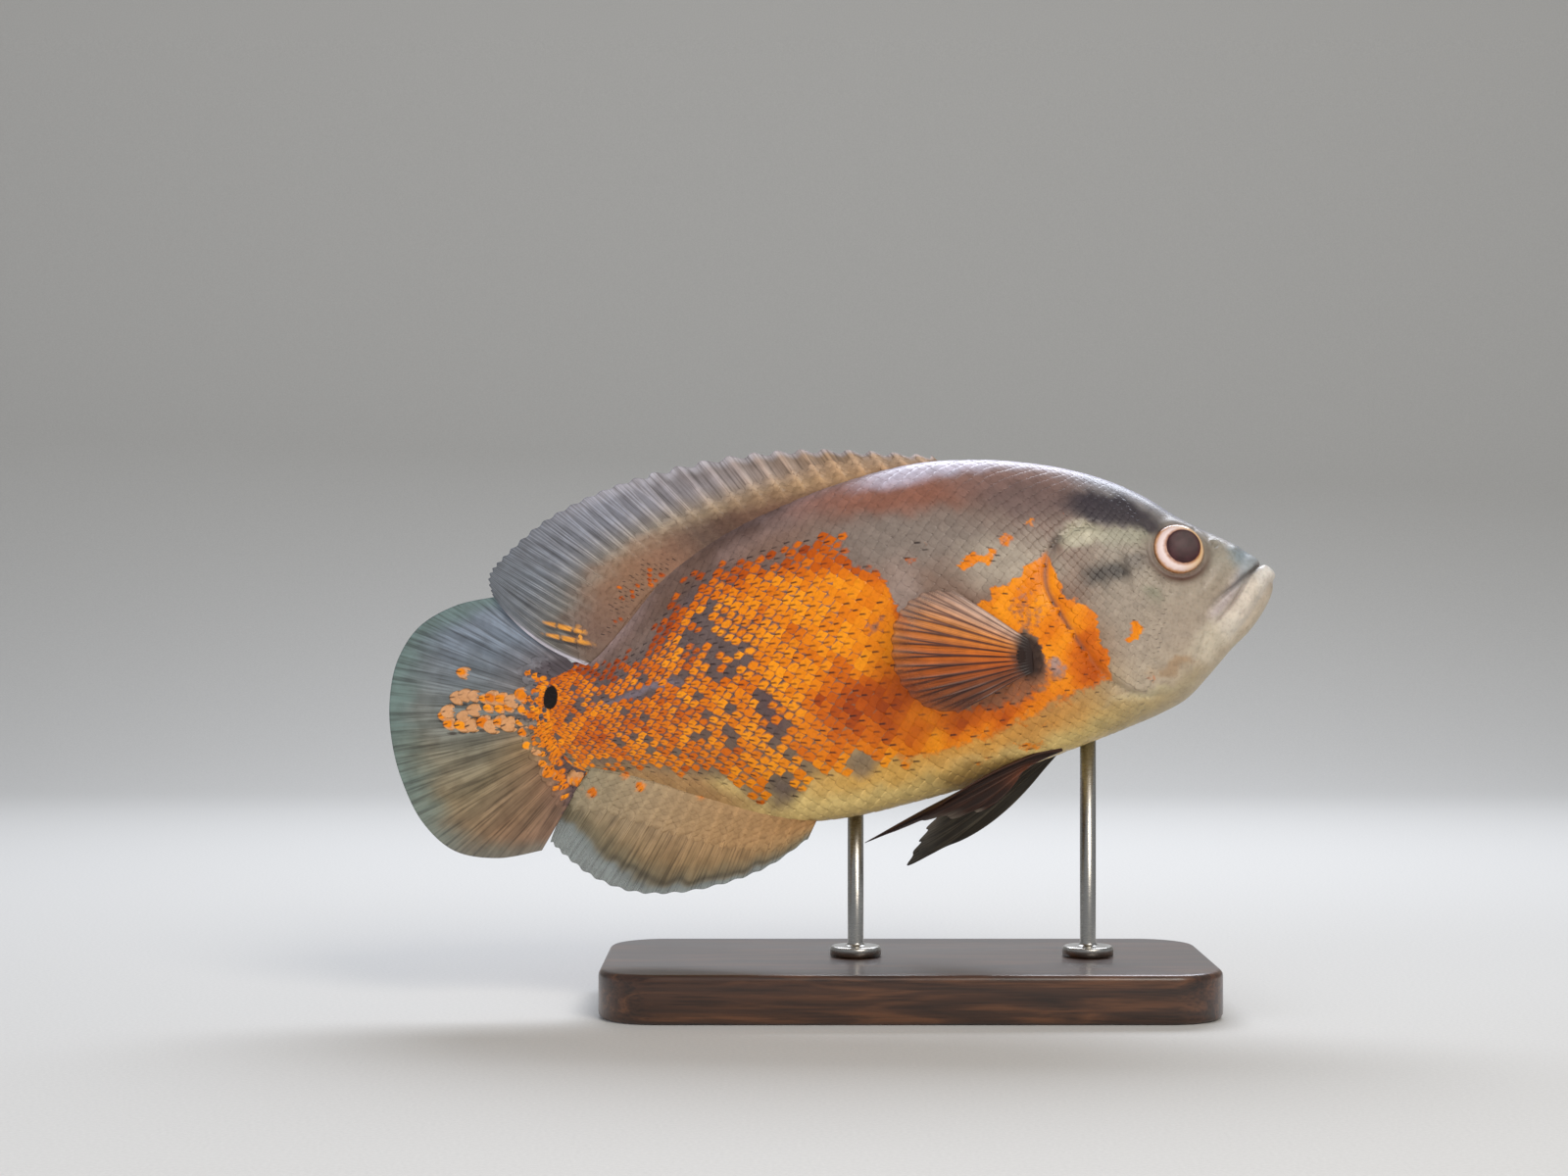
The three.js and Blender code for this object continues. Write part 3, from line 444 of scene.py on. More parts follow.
def relief(x, z):
    """Height of the folds of the skin: bells along their lines, steps at the free edges of gill
    cover and cheek, a swollen ring and a socket for the eye, a nostril and small pores."""
    height = np.zeros_like(x)
    for line, offset, width, rise, start, stop in FOLDS:
        distance, share = from_line(line, x, z)
        height += rise * bell(distance - offset, width) * shown(share, start, stop)
    for line, rise, up, near, far, start, stop in STEPS:
        distance, share = from_line(line, x, z)
        height += rise * window(distance, 0, up, near, far) * shown(share, start, stop)
    eye = apart(EYE_AT, x, z)
    height += ORBIT_RISE * bell(eye - EYE_RADIUS - ORBIT_OUT, ORBIT_WIDTH)
    height -= (SOCKET_DEPTH + ORBIT_RISE) * (1 - ramp(eye, *SOCKET_WALL))
    nostril = apart(NOSTRIL_AT, x, z)
    height += NOSTRIL_RISE * bell(nostril - NOSTRIL_RADIUS, NOSTRIL_RIM)
    height -= NOSTRIL_DEPTH * bell(nostril, NOSTRIL_WIDTH)
    for pore in PORES:
        height -= PORE_DEPTH * bell(apart(pore, x, z), PORE_RADIUS)
    return np.where(x < FOLDS_FROM_X, 0, height)


def scaled(x, z):
    """How far the coat of scales is there: 1 over trunk and stalk, gone on the front of the head,
    round the eye, on the jaws and on the throat."""
    front = 1 - ramp(x + 0.35 * np.abs(z - 2), *BARE_HEAD)
    clear_of_eye = ramp(apart(EYE_AT, x, z), *BARE_BY_EYE)
    throat = 1 - ramp(x - 0.5 * z, *BARE_THROAT)
    return front * clear_of_eye * throat


def grid_normals(grid):
    """Unit normals of a grid of points, across its two directions of central difference."""
    normal = np.cross(np.gradient(grid, axis=1), np.gradient(grid, axis=0))
    return normal / np.maximum(np.linalg.norm(normal, axis=-1, keepdims=True), 1e-9)


def half_normals(half):
    """Normals of the left half of the skin, with a column of the right one past crest and keel."""
    ringed = np.concatenate([half[:, 1:2] * MIRROR, half, half[:, -2:-1] * MIRROR], axis=1)
    return grid_normals(ringed)[:, 1:-1]


def lengths_along(points):
    """Length of a line of points up to each of them."""
    return np.pad(np.cumsum(np.linalg.norm(np.diff(points, axis=0), axis=-1)), (1, 0))


def between(values, row, column):
    """Values of a grid at fractional rows and columns, each mixed from the four nearest."""
    row = np.clip(row, 0, len(values) - 1.001)
    column = np.clip(column, 0, values.shape[1] - 1.001)
    i, j = row.astype(int), column.astype(int)
    f, g = (row - i)[..., None], (column - j)[..., None]
    return ((values[i, j] * (1 - g) + values[i, j + 1] * g) * (1 - f)
            + (values[i + 1, j] * (1 - g) + values[i + 1, j + 1] * g) * f)


stations = np.concatenate([np.arange(n) / n + k for k, n in enumerate(ROWS_PER_SECTION)]
                          + [[len(ROWS_PER_SECTION)]])
angles = np.radians(np.linspace(-90, 90, 361))
girth = flank(*np.meshgrid(stations, angles, indexing="ij"))
girth_length = np.cumsum(np.linalg.norm(np.diff(girth, axis=1), axis=-1), axis=1)
girth_length = np.pad(girth_length, ((0, 0), (1, 0)))
half_girth = girth_length[:, -1]
shares = np.linspace(0, 1, SIDE_COLUMNS + 1)
even_angles = np.stack([np.interp(shares * length[-1], length, angles) for length in girth_length])
middle_share = np.array([np.interp(0, angles, length) for length in girth_length]) / half_girth

# The widest line would show as a faint edge, so the skin near it is evened out
bare = flank(stations[:, None] + 0 * even_angles, even_angles)
near_middle = bell(np.degrees(even_angles), EVENED_ANGLE)[:, 1:-1, None]
for _ in range(EVENINGS):
    evened = (bare[:, :-2] + 2 * bare[:, 1:-1] + bare[:, 2:]) / 4
    bare[:, 1:-1] += near_middle * (evened - bare[:, 1:-1])

bare_normals = half_normals(bare)
coat_share = scaled(bare[..., 0], bare[..., 2])
thin = np.minimum(1, bare[:, SIDE_COLUMNS // 2, 1] / THIN_BELOW)[:, None]
depth = (BARE_DEPTH + (COAT_DEPTH - BARE_DEPTH) * coat_share) * thin
raised = relief(bare[..., 0], bare[..., 2]) - depth
skin_grid = bare + bare_normals * raised[..., None]
skin_grid[:, [0, -1], 1] = 0
skin_normals = half_normals(skin_grid)
LENGTH_AT = lengths_along(bare[:, SIDE_COLUMNS // 2])


# Markings
# The colours of the live fish, painted on skin and scales alike: a grey-tan ground that pales to
# a yellow belly, dark and light smudges, and a field of bright orange along the lower flank.
# Painted shade in folds and creases, painted shadows of the fins and a painted sheen along the
# crest are laid in with them.
# Ground colours by height; the pale lilac and blue-grey stops at the crest are in part a painted sheen of
# the light from above.
GROUND_BY_HEIGHT = [  # share of the half girth, on the trunk and on the head
    (0.0, "#DABF7E", "#A89670"), (0.1, "#D8BD7A", "#B2A084"), (0.2, "#A88D5E", "#B3A48F"),
    (0.33, "#86694F", "#A09282"), (0.5, "#7C6455", "#988C7C"), (0.7, "#7A675C", "#897F72"),
    (0.85, "#6F5A52", "#85817E"), (0.94, "#8B7672", "#868896"), (1.0, "#A298A2", "#8E98A8")]
HEAD_FROM, HEAD_FULL = 74, 92
# Soft smudges: x, z, half length, half height, tilt, softness, colour, strength. Some are painted
# shade in folds and creases and painted shadows of the fins, as marked.
SMUDGES = [
    (26, 43, 30, 7, -6, 0.6, "#8A5A48", 0.85),  # red-brown back
    (64, 38, 22, 6, -20, 0.6, "#7E625A", 0.75),
    # Painted shade of the fold along the foot of the soft dorsal fin, this row and the next
    (-22, 43, 22, 5.5, 21, 0.6, "#4A352D", 0.85),  # dark band along the soft dorsal fin
    (-44, 30, 16, 7, 38, 0.6, "#5C463A", 0.75),
    (-8, 33, 18, 7, 8, 0.7, "#806455", 0.6),
    (30, 27, 28, 8, -10, 0.6, "#7F746B", 0.8),  # grey band over the orange
    (68, 32, 16, 6, -16, 0.5, "#665450", 0.75),
    (58, 13, 15, 8, -14, 0.6, "#A39888", 0.85),
    (24, 8, 6, 12, 0, 0.6, "#9C8A80", 0.7),
    (91, 25.6, 13, 5.5, -17, 0.45, "#322C33", 0.95),  # nape
    (101, 20, 8, 3.8, -40, 0.45, "#3A3438", 0.92),
    (87.5, 4.8, 8.5, 4.2, 6, 0.55, "#37322F", 0.95),  # behind the eye
    (97.5, 7, 4.6, 2.4, 12, 0.6, "#665E57", 0.75),
    (81.8, 18.2, 6.8, 3.7, -8, 0.4, "#AEA892", 0.95),  # pale patch above the gill cover
    (94, 15.2, 8, 2.8, -8, 0.5, "#93907D", 0.85),
    # Painted shade in the groove at the top of the gill opening
    (74, 18, 3.2, 1.3, 55, 0.6, "#544E4A", 0.8),  # top of the gill opening
    (98.7, -4.1, 3.4, 3, 0, 0.6, "#777863", 0.8),  # olive spot on the cheek
    (89, -5, 9, 6, 0, 0.7, "#938779", 0.7),
    (131, 2.2, 5.4, 4.4, -35, 0.6, "#7F929C", 0.85),  # blue-grey tip of the snout
    (122, 5, 8, 5.5, -35, 0.7, "#9D988A", 0.6),
    (116, -20, 9, 4.5, 38, 0.6, "#C6BCA8", 0.7),  # jaw
    (101.5, -27, 7, 1.7, 5, 0.5, "#9E8160", 0.7),  # tan fold of the chin
    (93, -33.6, 13, 1.2, 4, 0.5, "#C6BC9C", 0.65),
    (104, -33, 9, 3, 24, 0.6, "#A29374", 0.7),
    (84, -38.6, 14, 4, 12, 0.6, "#AB9663", 0.75),  # yellow throat
    (-58, -35, 26, 7, -24, 0.5, "#9A714A", 0.85),  # tan along the anal fin
    # Painted shadow of the pelvic fin on the belly
    (39, -47.5, 17, 3.4, 0, 0.5, "#87622F", 0.7),  # shade over the pelvic fin
    (36, -38.5, 34, 4.5, 4, 0.7, "#CE9138", 0.8),  # gold under the orange
    (60, -35, 14, 5, 14, 0.7, "#BB8440", 0.75),
    (66.5, -21, 3.6, 4.4, 0, 0.6, "#B8A29E", 0.7),  # lilac behind the gill cover
    (66.5, -8, 3, 3.6, 0, 0.6, "#C39C86", 0.6),
    (2, -42.5, 20, 4.5, -4, 0.6, "#CFA04E", 0.7),
    # Painted shadow of the pectoral fin on the flank
    (48, -24, 18, 8, 4, 0.6, "#8A5337", 0.9),  # shade under the pectoral fin
    (-22.2, -17, 4.5, 8, 0, 0.6, "#6A4C46", 0.8),
    (-23.8, -42.5, 4.5, 6, 0, 0.5, "#7C6A54", 0.85),
    (2.1, -38.2, 4.8, 4.5, 0, 0.5, "#7A6A57", 0.85),
    (-61.5, -3.4, 13.5, 1.2, 4, 0.5, "#A99AA6", 0.95),  # pale line of the tail stalk
    # Painted shade in the crease over the anal fin
    (-74.5, -26.3, 8.5, 0.7, 8, 0.5, "#4E4B36", 0.85),  # crease over the anal fin
    (57.8, -15.6, 4.6, 7.0, 6, 0.3, "#2E201B", 0.96),  # dark root of the pectoral fin
]
# Bands along the mouth: distance from its slit, width, x between which it comes in, colour, strength.
# The narrow dark band on the slit is painted shade in the groove of the mouth.
LIP_BANDS = [
    (3.4, 3.4, 0, 1, "#D6CCBE", 0.85), (-2.2, 1.8, 0, 1, "#AFA3A2", 0.8), (0.1, 0.5, 0, 1, "#8A7A74", 0.6),
    # Pale tip of the lower lip, with a painted highlight on it
    (3, 2.6, 131, 136, "#DEDAD4", 0.8),  # tip of the lower lip
    (-2.4, 2.2, 123, 132, "#8E9CA2", 0.75),  # and of the upper
]
BY_MOUTH = (102, 108)  # x between which they begin
CREASE_SHADE = "#4C4744"
GILL_SHADE = "#4A3430"
EYE_RIM = "#43200F"
# Painted sheen: a highlight of the light from above, laid along the crest of the back and the forehead
CREST_SHEEN = "#C4C0D2"
CREST_FROM, CREST_FADE, CREST_DIP = 0.915, 0.05, 0.05  # in shares of the half girth
CREST_ALONG = (8, 30, 114, 130)  # x between which it comes in and goes
CREST_DIP_AT, CREST_DIP_LONG = 35, 26
GILL_ALONG = (0.2, 0.4, 0.6, 0.75)  # shares of the gill opening where its shade comes in and goes
AMONG_BEADS = "#4E4245"
ORANGE_TOP = np.array([
    [-99, 4], [-96, 6.3], [-90.5, 12.4], [-82, 11.6], [-72, 6.5], [-61, 9], [-54.4, 12.8], [-49, 19],
    [-40.5, 26.2], [-32, 28.7], [-19.8, 28.6], [-5.7, 28], [1.6, 30], [7, 26], [12.6, 20], [19.3, 17.5],
    [21.5, 4], [26, -2], [40, 0], [50, 5], [54.7, 7.2], [58.4, 8.5], [64.5, 12], [69.8, 13.5], [71, 6],
    [72.5, 0], [76.7, -2.9], [79.6, -6.5], [80.2, -14], [81.8, -20.7], [82.4, -28], [83, -36]])
ORANGE_LOW = np.array([
    [-99.4, -11.6], [-96, -17.4], [-88.6, -26], [-77.4, -24.4], [-65.6, -26.4], [-56.2, -30],
    [-44.2, -33.4], [-39, -35.4], [-32.8, -43.8], [-19, -44.2], [-13.8, -39], [-3.8, -39.5],
    [17.6, -40.4], [33, -40], [52.7, -35.4], [68.9, -30.6], [79, -28.5], [83, -28]])
# Loose patches of orange: x, z, half length, half height, tilt, strength
ORANGE_PATCHES = [
    (47.9, 16.3, 7, 2.2, 4, 0.8), (58.5, 20.7, 2.6, 2, 0, 0.65), (28.2, 20, 2, 1.2, 0, 0.6),
    (32.8, 24.5, 2.4, 1.2, 0, 0.4), (66.4, 25.2, 2.4, 1.6, 0, 0.6), (76, 24.6, 2.4, 1.2, 0, 0.45),
    (92, -14.4, 2, 3.6, -12, 0.95), (89.6, -16.8, 3, 1.1, 0, 0.8), (93.7, -29.2, 1.6, 1.3, 0, 0.45),
    (91.8, -20.5, 1.4, 1, 0, 0.3), (1.6, 33.6, 3, 1.2, 0, 0.6), (6, 31, 4, 1.6, 0, 0.5),
    (54, -42.4, 6, 1.1, -12, 0.6), (38, -44, 5, 1.4, -6, 0.5), (60, -37, 2, 1.2, 0, 0.45),
    (51, -36, 2.4, 1.2, 0, 0.5), (67, -31.4, 2, 1.2, 0, 0.5), (83.5, -33, 1.4, 1, 0, 0.4)]
# Gaps in it where most scales stay grey; the one at x 48 under the pectoral fin leaves room for its painted
# shadow
ORANGE_GAPS = [
    (-35, 7, 14, 11, 12, 0.42), (-22.2, -20, 5.5, 12, 0, 0.5), (-78.5, -2.4, 5.5, 3.6, 0, 0.6),
    (-23.8, -42.5, 4.5, 6, 0, 0.95), (2.1, -38.2, 4.8, 4.5, 0, 0.75), (-61.5, -3.4, 13.5, 1.5, 4, 0.95),
    (14, 2, 4, 3, 0, 0.5), (48, -24, 17, 6.5, 4, 0.6), (60, -2, 6, 8, 0, 0.35),
    (66.5, -21, 3.4, 4.4, 0, 0.5), (57.8, -15.6, 5.0, 7.4, 6, 1.0)]
# Where it deepens to rust; the last, below the pectoral fin, deepens it in the fin's painted shadow
RUST = [(8, -22, 24, 14, 0, 0.62), (76, -20, 7, 10, 0, 0.55), (40, -30, 20, 6, 4, 0.55)]
# How softly it ends above and below, by x
SOFT_TOP = [(-75, 5), (-50, 9), (-25, 13), (0, 14), (14, 8), (30, 3)]
SOFT_LOW = [(-10, -2.5), (30, -5)], [(-10, 3), (30, 6)]
ORANGE_FRONT = 84  # x
# How far each scale is filled with orange, by x: round beads near the tail, one field in front
FILLED = [
    (-130, 0.85), (-99, 0.78), (-88, 0.7), (-70, 0.6), (-45, 0.62), (-20, 0.72), (5, 0.85), (20, 1),
    (90, 0.8)]
# Soft random shifts of the outlines along x and z, and of the tone: amount, size and seed of each
GROUND_SHIFTS = [(1.4, 14, 3), (0.5, 4, 13)], [(1.4, 11, 7), (0.5, 4, 17)]
ORANGE_SHIFTS = [(1.0, 9, 21), (0.7, 4, 27)], [(1.2, 8, 25), (0.9, 4, 29)]
TONE_SHIFTS = [(0.07, 6, 41), (0.05, 2.2, 45)]
SEAM_ROOM = 1.02  # the unwrapped skin is drawn in a little, for the faces across its seam
OCELLUS = (-90.1, 0.7, 2.3, 3.9, -17)  # x, z, half length, half height, tilt of the black spot
OCELLUS_FAR = 4  # its radius is painted on as a share of this
OCELLUS_BLACK = "#140F0D"


def wobble(x, z, size, seed):
    """Soft random field, about -1 to 1: a mean of nine sine waves in random directions, whose
    lengths lie round size."""
    draw = np.random.default_rng(seed)
    turn, phase = draw.uniform(0, 2 * math.pi, (2, 9))
    wave = 2 * math.pi / size * draw.uniform(0.6, 1.6, 9)
    total = sum(np.sin(w * (x * math.cos(t) + z * math.sin(t)) + p)
                for w, t, p in zip(wave, turn, phase))
    return total / 4.5


def shifted(value, x, z, shifts, side=0):
    """Value with soft random fields added to it, each times its amount."""
    for amount, size, seed in shifts:
        value = value + amount * wobble(x, z, size, seed + side)
    return value


def ellipse(x, z, at_x, at_z, long, high, tilt):
    """Radius from the middle of a tilted ellipse, 1 on its edge."""
    c, s = math.cos(math.radians(tilt)), math.sin(math.radians(tilt))
    dx, dz = x - at_x, z - at_z
    return np.hypot((dx * c + dz * s) / long, (dz * c - dx * s) / high)


def spot(x, z, shape, full, gone):
    """1 inside a tilted ellipse and 0 outside it, falling between two radii."""
    return 1 - ramp(ellipse(x, z, *shape), full, gone)


def mix(a, b, share):
    """Mix of two colours, the second of which may be a hex code."""
    b = colour(b) if isinstance(b, str) else b
    return a + (b - a) * np.asarray(share)[..., None]


def by_stops(value, stops):
    """Colour between stops of position and hex code."""
    positions = [stop[0] for stop in stops]
    colours = np.array([colour(stop[1]) for stop in stops])
    return np.stack([np.interp(value, positions, colours[:, k]) for k in range(3)], -1)


def ground_at(x, z, height, side):
    """Linear colour of the ground: trunk and head colours by height, then each smudge in turn, some
    of them painted shade and shadows, the bands of the mouth with painted shade in its slit and crease,
    painted shade in the gill opening, a painted sheen along the crest, a darker ground between the
    beads of orange and a dark red-brown ring round the eye, strongest below it."""
    wx, wz = (shifted(value, x, z, shifts, side) for value, shifts in zip((x, z), GROUND_SHIFTS))
    trunk = by_stops(height, [(at, code) for at, code, _ in GROUND_BY_HEIGHT])
    head = by_stops(height, [(at, code) for at, _, code in GROUND_BY_HEIGHT])
    ground = mix(trunk, head, ramp(x, HEAD_FROM, HEAD_FULL))
    for *shape, soft, code, strength in SMUDGES:
        ground = mix(ground, code, strength * spot(wx, wz, shape, 1 - soft, 1 + soft))
    mouth, share = from_line(GAPE, x, z)
    by_mouth = ramp(x, *BY_MOUTH) * ramp(1.01 - share, 0, 0.16)
    for offset, width, start, stop, code, strength in LIP_BANDS:
        ground = mix(ground, code, strength * by_mouth * ramp(x, start, stop) * bell(mouth - offset, width))
    # Painted shade in the crease above the upper lip
    crease, share = from_line(LIP_CREASE, x, z)
    ground = mix(ground, CREASE_SHADE, 0.8 * by_mouth * bell(crease, 0.85) * shown(share, 0.15, 0.5))
    # Painted shade in the gill opening
    gill, share = from_line(GILL_EDGE, x, z)
    ground = mix(ground, GILL_SHADE, 0.75 * bell(gill + 0.7, 0.8) * window(share, *GILL_ALONG))
    # Painted sheen along the crest, weaker over the nape
    edge = CREST_FROM - CREST_DIP * bell(x - CREST_DIP_AT, CREST_DIP_LONG)
    crest = ramp(height + 0.01 * wobble(x, z, 12, 47), edge, edge + CREST_FADE) * window(x, *CREST_ALONG)
    ground = mix(ground, CREST_SHEEN, 0.78 * crest * (1 - 0.5 * ramp(x, 85, 105)))
    ground = ground * shifted(1, x, z, TONE_SHIFTS, side)[..., None]
    among = ramp(-x, -8, 25) * ramp(read(ORANGE_TOP, x) - z, -4, 5)
    ground = mix(ground, AMONG_BEADS, 0.7 * among * ramp(z - read(ORANGE_LOW, x), -3, 3))
    eye = apart(EYE_AT, x, z)
    below = 0.5 + 0.5 * (-(x - EYE_AT[0]) * 0.1 - (z - EYE_AT[1]) * 0.99) / np.maximum(eye, 1)
    return mix(ground, EYE_RIM, 0.98 * bell(eye - 9.3, 1.5) * np.clip(below, 0.1, 1) ** 1.5)


def orange_at(x, z, side):
    """Share of orange, 0 to 1, and how rusty it is: depth inside the field's outline, more in the
    patches, less in the gaps, one of them for the painted shadow under the pectoral fin, and less in the
    painted shade of the gill opening."""
    wx, wz = (shifted(value, x, z, shifts, side) for value, shifts in zip((x, z), ORANGE_SHIFTS))
    top = read(ORANGE_TOP, wx)
    soft_top = read(SOFT_TOP, wx)
    orange = ramp(np.minimum(top - wz, ORANGE_FRONT - wx), -0.6 * soft_top, 0.5 * soft_top)
    orange = orange * ramp(wz - read(ORANGE_LOW, wx), *(read(edge, wx) for edge in SOFT_LOW))
    for *shape, strength in ORANGE_PATCHES:
        orange = np.maximum(orange, strength * spot(wx, wz, shape, 0.75, 1.25))
    for *shape, strength in ORANGE_GAPS:
        orange = orange * (1 - strength * spot(wx, wz, shape, 0.6, 1.3))
    # Less orange where the gill opening's painted shade lies
    gill, share = from_line(GILL_EDGE, x, z)
    orange = orange * (1 - 0.7 * bell(gill + 0.7, 0.7) * window(share, 0.25, 0.4, 0.6, 0.75))
    rust = 0.55 * (1 - ramp(top - wz, 0, 9)) * (1 - ramp(wx, 20, 40))
    for *shape, strength in RUST:
        rust = np.maximum(rust, strength * spot(wx, wz, shape, 0.4, 1.2))
    rust = rust + 0.22 * ramp(-x, 20, 60)
    return orange, np.clip(rust + 0.2 + 0.2 * wobble(x, z, 16, 31 + side), 0, 1)


def paint(piece, name, values):
    """Colour attribute of a piece: red, green, blue and fourth value of each vertex, from one,
    three or four columns of values."""
    values = np.clip(values, 0, 1)
    values = values if values.shape[1] > 1 else np.repeat(values, 3, 1)
    layer = piece.data.color_attributes.new(name, "FLOAT_COLOR", "POINT")
    values = np.concatenate([values, np.ones((len(values), 4 - values.shape[1]))], axis=1)
    layer.data.foreach_set("color", values.astype(np.float32).ravel())


def unwrap(piece, name, places, closed=False, rim=0):
    """UV map of a piece from one place for each vertex. On a closed ring, a face across the seam
    is carried on past it. The last `rim` faces, between the two sheets of a fin, all take the
    places of its front sheet."""
    mesh = piece.data
    corner = np.empty(len(mesh.loops), np.int32)
    mesh.loops.foreach_get("vertex_index", corner)
    totals = np.empty(len(mesh.polygons), np.int32)
    mesh.polygons.foreach_get("loop_total", totals)
    face = np.repeat(np.arange(len(totals)), totals)
    corner = np.where(face >= len(totals) - rim, corner % max(len(places) // 2, 1), corner)
    uv = places[corner].astype(float)
    if closed:
        highest = np.zeros(len(totals))
        np.maximum.at(highest, face, uv[:, 1])
        uv[:, 1] = (uv[:, 1] + (highest[face] - uv[:, 1] > 0.5)) / SEAM_ROOM
    layer = mesh.uv_layers.new(name=name)
    layer.data.foreach_set("uv", uv.astype(np.float32).ravel())


ORANGE_PAINT = [(0.0, "#EA9010"), (0.3, "#DA7906"), (0.55, "#CA6403"), (0.8, "#B04D02"), (1.0, "#953B06")]
SPECK_TONES = [(0.3, "#C9C3BE"), (0.52, "#FFFFFF"), (0.75, "#FFFFFF")]


def fish_paint(name, filled=None):
    """Material with its ground colour, its orange laid over it, and the nodes that hold them. The
    share of orange comes from the pigment, or from `filled`, which makes it from the pigment."""
    material = empty_material(name)
    ground = add(material, "Attribute", attribute_name="ground")
    pigment = add(material, "Attribute", attribute_name="pigment")
    parts = add(material, "SeparateColor", {"Color": pigment})
    place = add(material, "TexCoord").outputs["Object"]
    share = filled(material, parts, pigment.outputs["Alpha"]) if filled else parts
    # The edge of a patch of orange is redder than its middle
    thin = add(material, "Math", {0: share, 1: -0.35, 2: 0.35}, operation="MULTIPLY_ADD")
    redder = add(material, "Math", {0: thin, 1: parts.outputs[1]}, operation="ADD")
    orange = ramp_node(material, redder, ORANGE_PAINT)
    painted = add(material, "Mix", {0: share, 6: ground, 7: orange}, data_type="RGBA")
    # Specks of pigment about a millimetre across
    specks = add(material, "TexNoise", {"Vector": place, "Scale": 900.0, "Detail": 3.0})
    tone = ramp_node(material, specks, SPECK_TONES)
    mottled = add(material, "Mix", {0: 0.4, 6: painted.outputs[2], 7: tone},
                  data_type="RGBA", blend_type="MULTIPLY")
    # The black spot of the tail's root ends where its radius passes 1
    eyespot = add(material, "Attribute", attribute_name="ocellus")
    ragged = add(material, "Math", {0: specks, 1: 0.06, 2: eyespot.outputs["Fac"]},
                 operation="MULTIPLY_ADD")
    black = add(material, "MapRange", {
        "Value": ragged, "From Min": 0.95 / OCELLUS_FAR + 0.03, "From Max": 1.05 / OCELLUS_FAR + 0.03,
        "To Min": 1.0, "To Max": 0.0})
    spotted = add(material, "Mix", {0: black, 6: mottled.outputs[2], 7: rgba(OCELLUS_BLACK)},
                  data_type="RGBA")
    return material, spotted.outputs[2], parts, place, specks


def painted_skin():
    """Cast resin, airbrushed in thin coats and sealed with a thin clear gloss, so it looks moist.
    Pits a millimetre apart and wrinkles a third of one across break the highlight."""
    skin, base, parts, place, specks = fish_paint("airbrushed_resin_skin")
    pits = add(skin, "TexVoronoi", {"Vector": place, "Scale": 1100.0})
    wrinkles = add(skin, "TexNoise", {"Vector": place, "Scale": 2600.0, "Detail": 2.0})
    height = add(skin, "Math", {0: pits, 1: wrinkles}, operation="ADD")
    bump = add(skin, "Bump", {"Height": height, "Strength": 0.2, "Distance": 0.0002})
    rough = add(skin, "MapRange", {"Value": specks, "To Min": 0.36, "To Max": 0.52})
    shader = add(skin, "BsdfPrincipled", {
        "Base Color": base, "Roughness": rough, "Normal": bump,
        "Coat Weight": 0.2, "Coat Roughness": 0.2, "Specular IOR Level": 0.22, "Subsurface Weight": 0.08,
        "Subsurface Radius": (0.9, 0.45, 0.25), "Subsurface Scale": 0.002})
    return shown_by(skin, shader)


skin_rings = np.concatenate([skin_grid, skin_grid[:, -2:0:-1] * MIRROR], axis=1)
ring_heights = np.concatenate([shares, shares[-2:0:-1]])
skin = stacked_rings("skin", on_stand(skin_rings), painted_skin())
flat_points = np.concatenate([skin_rings.reshape(-1, 3), skin_rings[[0, -1]].mean(axis=1)])
flat_heights = np.concatenate([np.tile(ring_heights, len(skin_rings)), [0.5, 0.5]])
left_side = flat_points[:, 1] >= 0
flat_x, flat_z = flat_points[:, 0], flat_points[:, 2]
ground = np.where(left_side[:, None], *(ground_at(flat_x, flat_z, flat_heights, side) for side, _ in SIDES))
orange, rust = np.where(left_side, *(orange_at(flat_x, flat_z, side) for side, _ in SIDES))
paint(skin, "ground", ground)
paint(skin, "pigment", np.stack([orange, rust, 0 * rust], -1))
paint(skin, "ocellus", ellipse(flat_x, flat_z, *OCELLUS)[:, None] / OCELLUS_FAR)
ring_shares = np.arange(skin_rings.shape[1]) / skin_rings.shape[1]
skin_places = np.meshgrid(LENGTH_AT / LENGTH_AT[-1], ring_shares, indexing="ij")
skin_places = np.stack(skin_places, -1).reshape(-1, 2)
unwrap(skin, "OFBake", np.concatenate([skin_places, [[0, 0.5], [1, 0.5]]]), closed=True)
placed(skin, "flank_skin", "head", "lower_jaw", "gill_cover_left", "gill_cover_right", "torso",
       "tail_stalk")


# Coat of scales
# Thin overlapping scales in oblique rows, each let into the skin at its front and free at its
# rounded rear edge. They are cast with the body and painted one by one.
SCALE_PITCH = 4.2  # from one scale to the next behind it on the flank
SCALE_ROW = 2.45  # from one row to the next
SCALE_LONG = 1.5  # length, in pitches
SCALE_HALF = 1.2  # half width, in rows
SCALE_SIZES = [  # by x
    (-93, 0.55), (-80, 0.62), (-60, 0.75), (-25, 0.95), (0, 1), (28, 1), (60, 0.84), (82, 0.64), (112, 0.5)]
SCALE_LIFT = 0.14  # of the free edge over the skin
SCALE_SWELL = 0.05  # of its middle over its sides
SCALE_SINKS = 0.03  # into the skin, where the coat runs out
SCALE_ALONG = np.array([0, 0.4, 0.75, 0.93, 1.0])  # points of one scale, from root to free edge
SCALE_RISE = np.array([-0.3, 0.5, 0.95, 1.0, 0.1])  # their height, in lifts
SCALE_ACROSS = 7
SCALE_ROUND = 0.4  # how far its free edge runs back at its sides
SCALE_MIDDLE = 0.66  # of its visible part, in shares of its length
SCALE_PATCH = 0.0015  # half width of its place on the unwrapped skin
